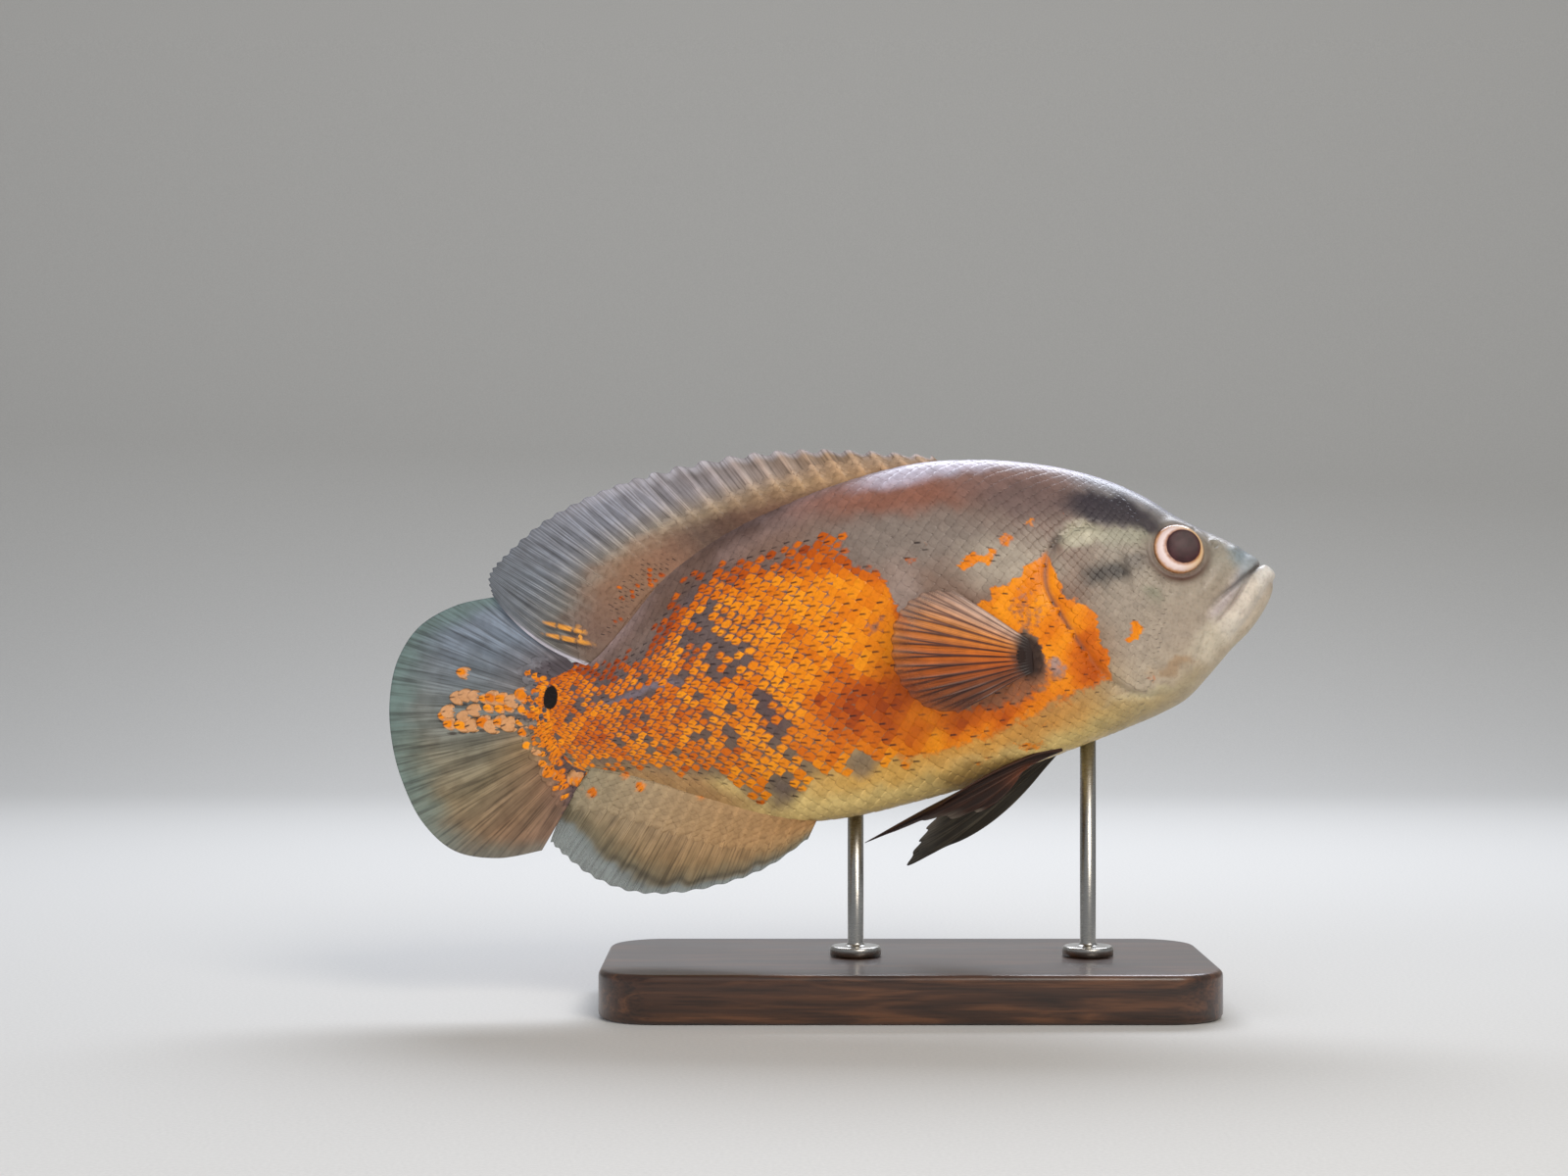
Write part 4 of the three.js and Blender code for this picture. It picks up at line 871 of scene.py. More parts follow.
# How much one differs from the next
SIZE_SPREAD, LIFT_SPREAD, SKEW_SPREAD = (0.95, 1.05), (0.85, 1.15), 0.04
FILLED_SPREAD, RUST_SPREAD, DASH_SPREAD, TONE_SPREAD = (0.8, 1.15), 0.13, (0.4, 0.9), (0.91, 1.07)
BEAD_AT, BEAD_LONG, BEAD_HALF = 0.66, 0.25, 0.19  # patch of orange on a scale, in shares of it
# A scale's chance of a bead: its share of orange, times BEAD_CHANCE, times the sum of an even part, a
# patchy one and one more that comes in forward
BEAD_CHANCE, BEADS_EVEN, BEADS_PATCHY, BEADS_MORE = 1.5, 0.66, 0.36, 0.5
BEADS_FORWARD = (-30, 5)  # x
BEAD_GROWS = 2.7  # its reach where a scale is filled with orange
ROWS_EACH_WAY = 44  # at most, from the middle line
CREST_ROOM = 0.012  # share of the half girth left free at the crest and the keel
LAST_ROOT = -93  # x
BEFORE_GILL, BEHIND_GILL = -0.4, 0.9  # from the gill opening, roots and tips between which are left out
FIELD_FROM = (0, 24)  # x from which the beads run together to one field
FIELD_EDGE = 1.3  # the field ends where its reach falls below this
DASHES = [  # share of the orange scales with a dash, by x
    (-99, 0.8), (-60, 0.95), (-15, 0.9), (8, 0.7), (22, 0.4), (50, 0.35), (65, 0.2), (95, 0.2)]
DASH_TURN = 0.22
DASH_DARK = "#22181A"


def bead_of_orange(material, parts, field):
    """Share of orange on a scale: 1 inside an oval round the middle of its free part, whose reach
    grows with the pigment, with an uneven edge. Where the field is 1 the shape of the scale no
    longer counts, only the pigment."""
    own = add(material, "UVMap", uv_map="ScaleMap")
    centred = add(material, "Mapping", {
        "Vector": own, "Scale": (1 / BEAD_HALF, 1 / BEAD_LONG, 1),
        "Location": (-0.5 / BEAD_HALF, -BEAD_AT / BEAD_LONG, 0)})
    radius = add(material, "VectorMath", {0: centred}, operation="LENGTH")
    place = add(material, "TexCoord").outputs["Object"]
    uneven = add(material, "TexNoise", {"Vector": place, "Scale": 700.0, "Detail": 2.0})
    shift = add(material, "MapRange", {"Value": uneven, "To Min": -0.8, "To Max": 0.8})
    reach = add(material, "Math", {0: parts, 1: BEAD_GROWS}, operation="MULTIPLY")
    away = add(material, "Mix", {0: field, 2: radius.outputs["Value"], 3: FIELD_EDGE})
    inside = add(material, "Math", {0: reach, 1: away}, operation="SUBTRACT")
    ragged = add(material, "Math", {0: inside, 1: shift}, operation="ADD")
    has_any = add(material, "MapRange", {"Value": parts, "From Min": 0.02, "From Max": 0.2})
    share = add(material, "MapRange", {"Value": ragged, "From Min": -0.15, "From Max": 0.6})
    return add(material, "Math", {0: share, 1: has_any}, operation="MULTIPLY")


def painted_scales():
    """Cast resin scales under a thin clear gloss. Each is a little darker at its free edge, many have
    a dark dash at their tip, and growth rings, drawn coarse enough to show, dull the shine."""
    scales, base, parts, place, specks = fish_paint("airbrushed_resin_scales", bead_of_orange)
    own = add(scales, "UVMap", uv_map="ScaleMap")
    at = add(scales, "SeparateXYZ", {"Vector": own})
    # The dash lies level in the photo, so it is turned a little against the scale
    turned = add(scales, "Math", {0: at.outputs[1], 1: -DASH_TURN, 2: at}, operation="MULTIPLY_ADD")
    across = add(scales, "Math", {0: turned, 1: 0.5 - 0.8 * DASH_TURN}, operation="SUBTRACT")
    aside = add(scales, "Math", {0: across}, operation="ABSOLUTE")
    thin = add(scales, "MapRange", {"Value": aside, "From Min": 0.03, "From Max": 0.08,
                                    "To Min": 1.0, "To Max": 0.0})
    tip = add(scales, "MapRange", {"Value": at.outputs[1], "From Min": 0.58, "From Max": 0.7})
    dash = add(scales, "Math", {0: thin, 1: tip}, operation="MULTIPLY")
    dashed = add(scales, "Math", {0: dash, 1: parts.outputs[2]}, operation="MULTIPLY")
    edge = ramp_node(scales, at.outputs[1], [(0.0, "#FFFFFF"), (0.86, "#FFFFFF"), (1.0, "#CFC8C3")])
    shaded = add(scales, "Mix", {0: 0.6, 6: base, 7: edge}, data_type="RGBA", blend_type="MULTIPLY")
    marked = add(scales, "Mix", {0: dashed, 6: shaded.outputs[2], 7: rgba(DASH_DARK)}, data_type="RGBA")
    rings = add(scales, "TexWave", {"Vector": own, "Scale": 3.0, "Distortion": 0.6},
                wave_type="RINGS", rings_direction="SPHERICAL")
    bump = add(scales, "Bump", {"Height": rings.outputs["Fac"], "Strength": 0.08, "Distance": 0.0001})
    rough = add(scales, "MapRange", {"Value": specks, "To Min": 0.34, "To Max": 0.5})
    shader = add(scales, "BsdfPrincipled", {
        "Base Color": marked.outputs[2], "Roughness": rough, "Normal": bump,
        "Coat Weight": 0.2, "Coat Roughness": 0.2, "Specular IOR Level": 0.22})
    return shown_by(scales, shader)


def laid_scales(name, surface, roots, ground_of, orange_of, seed):
    """Joined scales on a grid of skin, each pointing to its lower rows. A scale's point lies p
    from root to free edge and q from side to side of it: p is shortened at the sides by a share
    of q squared, and the height is the rise of p, less a share of q to the fourth, and a swell."""
    grid, normals, lengths = surface
    row, column, size, rise = roots
    draw = np.random.default_rng(seed)
    count, rows = len(row), np.arange(len(grid))
    p, q = np.meshgrid(SCALE_ALONG, np.linspace(-1, 1, SCALE_ACROSS), indexing="ij")
    high = np.broadcast_to(SCALE_RISE[:, None], p.shape).ravel()
    p, q = p.ravel(), q.ravel()
    long = SCALE_LONG * SCALE_PITCH * size * draw.uniform(*SIZE_SPREAD, count)
    half = SCALE_HALF * SCALE_ROW * size * draw.uniform(*SIZE_SPREAD, count)
    back = long[:, None] * p * (1 - SCALE_ROUND * q**2)
    aside = half[:, None] * q * (0.86 + 0.14 * np.sin(math.pi * p))
    aside = aside + SKEW_SPREAD * back * draw.normal(0, 1, (count, 1))
    row_step, column_step = (np.linalg.norm(between(np.gradient(grid, axis=axis), row, column), axis=-1)
                             for axis in (0, 1))
    stretch = row_step / np.interp(row, rows, np.gradient(lengths))
    length = np.interp(row, rows, lengths)
    point_row = np.interp(length[:, None] - back / stretch[:, None], lengths, rows)
    point_column = column[:, None] + aside / column_step[:, None]
    lift = SCALE_LIFT * (size * rise * draw.uniform(*LIFT_SPREAD, count))[:, None]
    swell = SCALE_SWELL * (size * rise)[:, None] * (1 - q**2) * np.sin(math.pi * p)
    out = lift * high * (1 - 0.5 * q**4) + swell - SCALE_SINKS * (1 - rise)[:, None]
    points = between(grid, point_row, point_column)
    points = points + between(normals, point_row, point_column) * out[..., None]
    x, z = points[..., 0], points[..., 2]

    steps = (np.arange(len(SCALE_ALONG) - 1) * SCALE_ACROSS)[:, None] + np.arange(SCALE_ACROSS - 1)
    quad = np.stack([steps, steps + 1, steps + SCALE_ACROSS + 1, steps + SCALE_ACROSS], -1).reshape(-1, 4)
    index = np.arange(len(p)).reshape(-1, SCALE_ACROSS)
    rim = np.concatenate([index[0, :-1], index[:-1, -1], index[-1, :0:-1], index[:0:-1, 0]])[::-1]
    start = (np.arange(count) * len(p))[:, None]
    faces = [(start[:, None] + quad).reshape(-1, 4), start + rim]
    scales = solid(name, on_stand(points.reshape(-1, 3)), faces, scale_paint, flat=count)

    middle_row = np.interp(length - SCALE_MIDDLE * long / stretch, lengths, rows)
    middle_x, _, middle_z = between(grid, middle_row, column).T
    share, rust = orange_of(middle_x, middle_z)
    patchy = BEADS_EVEN + BEADS_PATCHY * wobble(middle_x, middle_z, 8, seed + 3)
    patchy = patchy + BEADS_MORE * ramp(middle_x, *BEADS_FORWARD)
    present = draw.uniform(0, 1, count) < BEAD_CHANCE * share * patchy
    filled = read(FILLED, middle_x) * draw.uniform(*FILLED_SPREAD, count)
    bead = np.where(present, np.clip(filled * (0.55 + 0.45 * share), 0.2, 1), 0)
    field = ramp(x + 5 * wobble(x, z, 9, seed), *FIELD_FROM)
    everywhere, rusty = orange_of(x, z)
    amount = bead[:, None] + (everywhere - bead[:, None]) * field
    rust = np.clip(rust + draw.normal(0, RUST_SPREAD, count), 0, 1)[:, None]
    rust = rust + (rusty + 0.3 * (rust - rusty) - rust) * field
    dashed = draw.uniform(0, 1, count) < read(DASHES, middle_x) * ramp(share, 0.02, 0.3)
    dash = np.where(dashed, draw.uniform(*DASH_SPREAD, count), 0)
    ground = ground_of(x, z, point_row, point_column) * draw.uniform(*TONE_SPREAD, (count, 1, 1))
    pigment = np.stack(np.broadcast_arrays(amount, rust, dash[:, None], field), -1)
    paint(scales, "ground", ground.reshape(-1, 3))
    paint(scales, "ocellus", ellipse(x, z, *OCELLUS).reshape(-1, 1) / OCELLUS_FAR)
    paint(scales, "pigment", pigment.reshape(-1, 4))
    unwrap(scales, "ScaleMap", np.tile(np.stack([(q + 1) / 2, p], -1), (count, 1)))
    root_place = np.stack([length / lengths[-1], column / (grid.shape[1] - 1)], -1)
    spread = SCALE_PATCH * np.stack([p * 2 - 1, q], -1)
    unwrap(scales, "OFBake", (root_place[:, None] + spread).reshape(-1, 2))
    return scales


def scale_roots():
    """Roots of one side. Rows lie at whole numbers of the row spacing from the middle line and
    scales at whole numbers of the pitch, every other row half a pitch on, both shrunk by place.
    None lies on bare skin or across the opening behind the gill cover."""
    rows = np.arange(len(LENGTH_AT))
    size_at = read(SCALE_SIZES, skin_grid[:, SIDE_COLUMNS // 2, 0])
    count_at = np.pad(np.cumsum(np.diff(LENGTH_AT) / (SCALE_PITCH * size_at[1:])), (1, 0))
    k, j = np.meshgrid(np.arange(1, int(count_at[-1])), np.arange(-ROWS_EACH_WAY, ROWS_EACH_WAY + 1),
                       indexing="ij")
    k, j = k.ravel(), j.ravel()
    length = np.interp(k + 0.5 * (j % 2), count_at, LENGTH_AT)
    row = np.interp(length, LENGTH_AT, rows)
    size = np.interp(row, rows, size_at)
    share = np.interp(row, rows, middle_share) + j * SCALE_ROW * size / np.interp(row, rows, half_girth)
    column = share * SIDE_COLUMNS
    root = between(skin_grid, row, column)
    tip_row = np.interp(length - SCALE_LONG * SCALE_PITCH * size, LENGTH_AT, rows)
    tip = between(skin_grid, tip_row, column)
    coated = scaled(root[:, 0], root[:, 2])
    gill, gill_share = from_line(GILL_EDGE, root[:, 0], root[:, 2])
    behind, _ = from_line(GILL_EDGE, tip[:, 0], tip[:, 2])
    crosses = (gill > BEFORE_GILL) & (behind < BEHIND_GILL) & (gill_share > 0.04) & (gill_share < 0.96)
    keep = (share > CREST_ROOM) & (share < 1 - CREST_ROOM) & (coated > 0.1) & (root[:, 0] > LAST_ROOT)
    keep &= ~crosses
    return row[keep], column[keep], size[keep], coated[keep]


scale_paint = painted_scales()
for seed, (side, side_name) in enumerate(SIDES, 11):
    mirror = np.array([1, side, 1])
    coat = laid_scales(
        f"coat_{side_name}", (skin_grid * mirror, skin_normals * mirror, LENGTH_AT), scale_roots(),
        lambda x, z, row, column, side=side: ground_at(x, z, column / SIDE_COLUMNS, side),
        lambda x, z, side=side: orange_at(x, z, side), seed)
    placed(coat, "flank_skin")


# Eyes
# A flattened glass eye let into a socket of the skin: a painted iris with a bright ring round
# the pupil, the dome of the lens in its middle, and a clear cornea over both.
EYE_LOOK = np.array([0.12, 1, 0.13])
EYE_BULGE = 4.6
EYE_SUNK = 1.7
PUPIL_RADIUS = 5.3
PUPIL_AHEAD, PUPIL_UP = 1.3, 0.3  # of its middle from the ball's
IRIS_DROP = 0.7  # of the iris below the cornea
IRIS_TOP = 3.4  # height at which the iris is cut flat and the lens is set
LENS_RISE = 0.5
LENS_SINK = 0.5
CORNEA_FROM = 18  # ring of the ball from which it reaches outwards
CORNEA_GAP = 0.25
IRIS_ROSE = [
    (0.0, "#6B3A24"), (0.12, "#BE9480"), (0.3, "#EFDDD8"), (0.58, "#E4CEC8"), (0.76, "#CE9A6C"),
    (0.9, "#8E5434"), (1.0, "#5E3322")]
IRIS_GOLD = [
    (0.0, "#7A4324"), (0.15, "#C98F5A"), (0.4, "#EAC796"), (0.7, "#E0BC96"), (0.9, "#9A6C4C"),
    (1.0, "#5A3A2A")]


def skin_at(x, z, side, out=0.0):
    """Skin under a point of the side view: the row and share whose bare skin lies nearest."""
    gap = apart((x, z), bare[..., 0], bare[..., 2])
    row, column = np.unravel_index(gap.argmin(), gap.shape)
    return (bare[row, column] + bare_normals[row, column] * out) * [1, side, 1]


def eye_frame(side):
    """Middle of the ball, and three directions: forward, up and outward."""
    outward = EYE_LOOK * [1, side, 1] / np.linalg.norm(EYE_LOOK)
    ahead = np.cross([0, 0, 1], outward) * -side
    ahead /= np.linalg.norm(ahead)
    return skin_at(*EYE_AT, side) - outward * EYE_SUNK, ahead, np.cross(outward, ahead) * -side, outward


def domed(name, side, profile, material, shift=(0.0, 0.0), steps=72):
    """Lathe work about the way the eye looks: radius and height of a profile carried round it.
    Its paint is placed by the share of the way from the pupil's edge to the ball's."""
    middle, ahead, up, outward = eye_frame(side)
    radius, height = np.array(profile).T
    turn = full_turn(steps)
    forward = shift[0] + radius[:, None] * np.cos(turn)
    upward = shift[1] + radius[:, None] * np.sin(turn)
    rings = middle + forward[..., None] * ahead + upward[..., None] * up + height[:, None, None] * outward
    piece = stacked_rings(name, on_stand(rings), material)
    in_pupil = apart((PUPIL_AHEAD, PUPIL_UP), forward, upward) - PUPIL_RADIUS
    in_ball = EYE_RADIUS - np.hypot(forward, upward)
    share = np.where(height[:, None] > 0, in_pupil / np.maximum(in_pupil + in_ball, 0.1), 1)
    place = np.stack([np.clip(share, 0, 1), forward / 16 + 0.5, upward / 16 + 0.5], -1).reshape(-1, 3)
    paint(piece, "iris_place", np.concatenate([place, [[0, 0.5, 0.5], [0, 0.5, 0.5]]]))
    return piece


def iris_paint():
    """Enamel fired on the back of the glass: rust at the pupil, then rose-white, gold and rust
    outwards, with the rose towards the tail and gold towards the snout, so it glints."""
    iris = empty_material("iris_enamel_under_glass")
    own = add(iris, "Attribute", attribute_name="iris_place")
    parts = add(iris, "SeparateColor", {"Color": own})
    place = add(iris, "TexCoord").outputs["Object"]
    cloud = add(iris, "TexNoise", {"Vector": place, "Scale": 900.0, "Detail": 4.0})
    shift = add(iris, "MapRange", {"Value": cloud, "To Min": -0.1, "To Max": 0.1})
    ring = add(iris, "Math", {0: parts, 1: shift}, operation="ADD")
    rose = ramp_node(iris, ring, IRIS_ROSE)
    gold = ramp_node(iris, ring, IRIS_GOLD)
    ahead = add(iris, "MapRange", {"Value": parts.outputs[1], "From Min": 0.45, "From Max": 0.85})
    toned = add(iris, "Mix", {0: ahead, 6: rose, 7: gold},
                data_type="RGBA")
    shader = add(iris, "BsdfPrincipled", {
        "Base Color": toned.outputs[2], "Roughness": 0.35, "Metallic": 0.1, "Coat Weight": 0.4,
        "Coat Roughness": 0.12})
    return shown_by(iris, shader)


def lens_glass():
    """Dark glass of the pupil with an etched face: warm brown-purple, softly shining."""
    lens = empty_material("pupil_dark_glass")
    place = add(lens, "TexCoord").outputs["Object"]
    cloud = add(lens, "TexNoise", {"Vector": place, "Scale": 420.0, "Detail": 2.0})
    tint = ramp_node(lens, cloud, [(0.3, "#301A1D"), (0.7, "#43262A")])
    shader = add(lens, "BsdfPrincipled", {
        "Base Color": tint, "Roughness": 0.4, "Specular IOR Level": 0.2, "Coat Weight": 0.05,
        "Coat Roughness": 0.2})
    return shown_by(lens, shader)


def cornea_glass():
    """Clear glass, blown thin and lightly etched: what lies behind shows through, and only its
    soft gloss is seen."""
    cornea = empty_material("cornea_clear_glass")
    gloss = add(cornea, "BsdfGlossy", {"Roughness": 0.14})
    clear = add(cornea, "BsdfTransparent")
    facing = add(cornea, "Fresnel", {"IOR": 1.12})
    return shown_by(cornea, add(cornea, "MixShader",
                                {0: facing, 1: clear, 2: gloss}))


def half_turn(steps):
    """Sines and cosines from one pole to the other, without the poles themselves."""
    turn = np.linspace(-math.pi / 2, math.pi / 2, steps)[1:-1]
    return np.sin(turn), np.cos(turn)


ball_up, ball_out = half_turn(41)
ball_radius, ball_height = EYE_RADIUS * ball_out, EYE_BULGE * ball_up
iris_height = np.where(ball_up > 0, ball_height - IRIS_DROP * ball_up**2, ball_height)
iris_height = np.minimum(iris_height, IRIS_TOP)
lens_up, lens_out = half_turn(25)
lens_height = IRIS_TOP + np.where(lens_up > 0, LENS_RISE, LENS_SINK) * lens_up
shell_radius = ball_radius[CORNEA_FROM:] * 0.995
shell_height = ball_height[CORNEA_FROM:] + CORNEA_GAP * ball_up[CORNEA_FROM:]
materials = {"iris": iris_paint(), "lens": lens_glass(), "cornea": cornea_glass()}
for side, side_name in SIDES:
    ball = domed(f"iris_{side_name}", side, list(zip(ball_radius, iris_height)), materials["iris"])
    lens = domed(f"lens_{side_name}", side, list(zip(PUPIL_RADIUS * lens_out, lens_height)),
                 materials["lens"], (PUPIL_AHEAD, PUPIL_UP))
    shell = domed(f"cornea_{side_name}", side, list(zip(shell_radius, shell_height)), materials["cornea"])
    placed(ball, "eye_ring", f"eye_{side_name}")
    placed(lens, "pupil", f"pupil_{side_name}")
    placed(shell, "eye_ring")


# Dorsal fin
# Thirteen spines and nineteen forking rays in one thin cast membrane, on a fleshy foot that the
# scales of the back run up. It is tinted from the back, with white tips between the spines.
DORSAL_ROOT = [[47, 47], [20, 47], [-8, 43], [-34, 36], [-54, 26], [-66, 15], [-76, 8]]
DORSAL_TIP = [
    [42, 54.2], [24, 59.2], [3, 64], [-19, 66.2], [-43, 65.6], [-64, 62.2], [-82, 56.4], [-96, 48.2],
    [-102.6, 42.8], [-102.8, 36.8]]
DORSAL_SPINES, DORSAL_RAYS = 13, 19
SPINY_SHARE = 0.46
DORSAL_SWAY, DORSAL_WAVES = 2.2, 1.1
DORSAL_SAG = np.array([-2.6, -0.9, -2.4])  # of the last rays, down over the tail fin and to its right
FIN_EDGE, FIN_WEB = 0.24, 0.42  # thickness at the margin and between the rays
# Orange streaks on its rear rays: x, z, half length, half height, tilt
DORSAL_STREAKS = [(-82, 21.8, 7.4, 0.8, -25), (-81.4, 17.9, 8.2, 0.8, -23)]
STREAK_BEADS = 5.2  # length of one bead of a streak
DORSAL_FLECKS = (-56, 26, 17, 8.5, 42)  # scattered orange scales of its foot, placed as a smudge is
DORSAL_FOOT = [  # depth of its scales, by u
    (0, 8), (0.35, 13), (0.6, 17), (0.8, 17), (0.9, 8), (0.94, 4), (1, 3)]
DORSAL_OUTER = [
    (0, "#A8917C"), (0.2, "#A5886C"), (0.4, "#9C9496"), (0.55, "#8F919C"), (0.8, "#757B83"), (1, "#6E7379")]
DORSAL_INNER = [(0, "#A67E5C"), (0.3, "#A08462"), (0.55, "#968872"), (0.8, "#7C7870"), (1, "#6F6D69")]
DORSAL_FOOT_TONES = [
    (0.2, "#85694F"), (0.34, "#6A4B3C"), (0.43, "#523A31"), (0.48, "#5C473E"), (0.56, "#835F4B"),
    (0.64, "#87644C"), (0.85, "#74594B"), (1, "#6B5A4E")]
DORSAL_FOOT_DEEP = [(0, 0.3), (0.4, 0.42), (0.7, 0.5), (0.88, 0.4), (1, 0.2)]  # v it reaches, by u
# The streak shade is a painted shadow under the orange streaks, and the last ray's tone a painted highlight
LAPPET_WHITE, STREAK_SHADE, STREAK_ORANGE, LAST_RAY_HIGHLIGHT = "#C3C2CC", "#2E2C2E", "#E39A3C", "#CFCBD6"
SPINY_LAPPET, SOFT_LAPPET = 1.7, 0.7  # how far the web ends short of spines and rays
FIN_SCALE = 0.6  # size of the scales on the fins' feet, in sizes of the flank's
FOOT_SCALES = 12  # of them in one column, at most


def onto(line, u):
    """Point of the side view on a line, u from 0 to 1 over its points, as x, 0, z."""
    x, z = np.moveaxis(along(line, np.asarray(u) * (len(line) - 1)), -1, 0)
    return np.stack([x, 0 * x, z], -1)


def ray_ridges(aside, v, forks, width):
    """Height of forking rays, 1 on a ray's line: a bell round the ray's middle, where at each
    fork the distance from the middle is folded about a line that moves out towards the margin."""
    spread = 0.25
    for fork in forks:
        aside = np.abs(np.abs(aside) - spread * np.clip((v - fork) / (1 - fork), 0, 1))
        width = width * (1 - 0.4 * ramp(v, fork, fork + 0.25))
        spread /= 2
    return bell(aside, width)


def sheet_faces(columns, rows):
    """Quads of a front and a back sheet of points, and after them those of the rim between."""
    start = (np.arange(columns - 1) * rows)[:, None] + np.arange(rows - 1)
    front = np.stack([start, start + rows, start + rows + 1, start + 1], -1).reshape(-1, 4)
    back = front[:, ::-1] + columns * rows
    index = np.arange(columns * rows).reshape(columns, rows)
    edge = np.concatenate([index[:-1, 0], index[-1, :-1], index[:0:-1, -1], index[0, :0:-1]])
    after = np.roll(edge, -1)
    rim = np.stack([after, edge, edge + columns * rows, after + columns * rows], -1)
    return [front, back, rim], len(rim)


def ray_fin(name, slot, nodes, material, root, tip, rays, tint, foot, reach, ray, lappet=0.0, forks=(),
            bow=None, crowd=1.0, per_ray=10, rows=60, ray_width=0.17, u_of=None):
    """Closed fin of two sheets over a middle surface from root(u) to tip(u), v from 0 to 1. Its
    thickness goes from a fleshy foot over a reach to the ridges of the rays, then thins to the
    margin. Between the rays it ends short of them by the lappet. Returns its middle surface, half
    thickness, normals, lengths and colours, from root to margin along the second axis."""
    phase = np.linspace(0, rays - 1, (rays - 1) * per_ray + 1)
    u = u_of(phase) if u_of else phase / (rays - 1)
    v = np.linspace(0, 1, rows)[None] ** crowd
    aside = (phase - np.round(phase))[:, None]
    low, high = root(u), tip(u)
    length = np.linalg.norm(high - low, axis=-1)[:, None]
    each = lambda value: np.broadcast_to(value, u.shape)[:, None]
    short = each(lappet) * np.sin(math.pi * aside) ** 2 / length
    middle = low[:, None] + (high - low)[:, None] * (v * (1 - short))[..., None]
    if bow:
        middle = middle + bow(u[:, None] + 0 * v, v + 0 * u[:, None])
    forked = ray_ridges(aside, v, (), ray_width)
    if forks:
        forked = np.where(phase[:, None] >= forks[0], ray_ridges(aside, v, forks[1:], ray_width), forked)
    stem = FIN_WEB + (ray - FIN_WEB) * forked
    inner = each(foot) + (stem - each(foot)) * ramp(v, 0, each(reach))
    outer = stem + (FIN_EDGE - stem) * (v - each(reach)) / (1 - each(reach))
    thick = np.where(v < each(reach), inner, outer)
    normal = grid_normals(middle)
    half = normal * thick[..., None] / 2
    points = np.concatenate([(middle + half).reshape(-1, 3), (middle - half).reshape(-1, 3)])
    faces, rim = sheet_faces(*middle.shape[:2])
    piece = solid(name, on_stand(points), faces, material)
    shape = middle.shape[:2]
    u_grid, v_grid = np.broadcast_to(u[:, None], shape), np.broadcast_to(v, shape)
    tinted, opacity = tint(u_grid, v_grid, np.broadcast_to(forked, shape), middle[..., 0], middle[..., 2])
    values = np.concatenate([tinted, np.broadcast_to(opacity, shape)[..., None]], -1).reshape(-1, 4)
    paint(piece, "tint", np.concatenate([values, values]))
    span = np.broadcast_to(phase[:, None] / phase[-1], shape)
    sheet = np.stack([0.01 + 0.48 * span, 0.01 + 0.98 * v_grid], -1).reshape(-1, 2)
    unwrap(piece, "OFBake", np.concatenate([sheet, sheet + [0.5, 0]]), rim=rim)
    in_mm = np.stack([phase[:, None] + 0 * v, v_grid * length], -1).reshape(-1, 2)
    unwrap(piece, "FinMap", np.concatenate([in_mm, in_mm]))
    placed(piece, slot, *nodes)
    return middle, thick[..., None] / 2, normal, length[:, 0], tinted


def membrane(name, gloss, coat=0.2):
    """Thin cast resin, tinted while wet and sealed: the tint's fourth value is how opaque it is.
    Fine streaks run out along the rays, about nine to a ray, and the joints of the rays, 0.8 mm apart as
    on the fish, break the shine into short dashes."""
    fin = empty_material(name)
    tint = add(fin, "Attribute", attribute_name="tint")
    own = add(fin, "UVMap", uv_map="FinMap")
    place = add(fin, "TexCoord").outputs["Object"]
    joints = add(fin, "TexWave", {"Vector": own, "Scale": 0.4, "Distortion": 1.5,
                                           "Detail": 1.0}, bands_direction="Y")
    drawn = add(fin, "Mapping", {"Vector": own, "Scale": (9.0, 0.05, 1.0)})
    streaks = add(fin, "TexNoise", {"Vector": drawn, "Scale": 1.0, "Detail": 3.0})
    streaked = ramp_node(fin, streaks, [(0.36, "#A8A4A2"), (0.47, "#E6E4E2"), (0.6, "#FFFFFF")])
    cloud = add(fin, "TexNoise", {"Vector": place, "Scale": 220.0, "Detail": 4.0})
    tone = ramp_node(fin, cloud, [(0.3, "#CCC7C3"), (0.6, "#FFFFFF")])
    toned = add(fin, "Mix", {0: 0.6, 6: tint, 7: tone},
                data_type="RGBA", blend_type="MULTIPLY")
    lined = add(fin, "Mix", {0: 0.8, 6: toned.outputs[2], 7: streaked},
                data_type="RGBA", blend_type="MULTIPLY")
    bump = add(fin, "Bump", {"Height": joints.outputs["Fac"], "Strength": 0.1, "Distance": 0.0001})
    shader = add(fin, "BsdfPrincipled", {
        "Base Color": lined.outputs[2], "Roughness": gloss, "Alpha": tint.outputs["Alpha"],
        "Normal": bump, "Coat Weight": coat, "Coat Roughness": 0.25, "Specular IOR Level": 0.35})
    return shown_by(fin, shader)


def ribbed(tone, ridge, dark=0.8, light=1.25):
    """A tone darkened between the rays and lightened on them."""
    return tone * (dark + (light - dark) * ridge)[..., None]


def beaded(x, z, streaks, bead):
    """Share of orange in streaks of beads: inside each tilted ellipse, waves along its length."""
    share = np.zeros_like(x)
    for at_x, at_z, long, high, tilt in streaks:
        c, s = math.cos(math.radians(tilt)), math.sin(math.radians(tilt))
        run = (x - at_x) * c + (z - at_z) * s
        inside = spot(x, z, (at_x, at_z, long, high, tilt), 0.7, 1.2)
        share = np.maximum(share, inside * ramp(np.cos(2 * math.pi * run / bead), -1, -0.75))
    return share


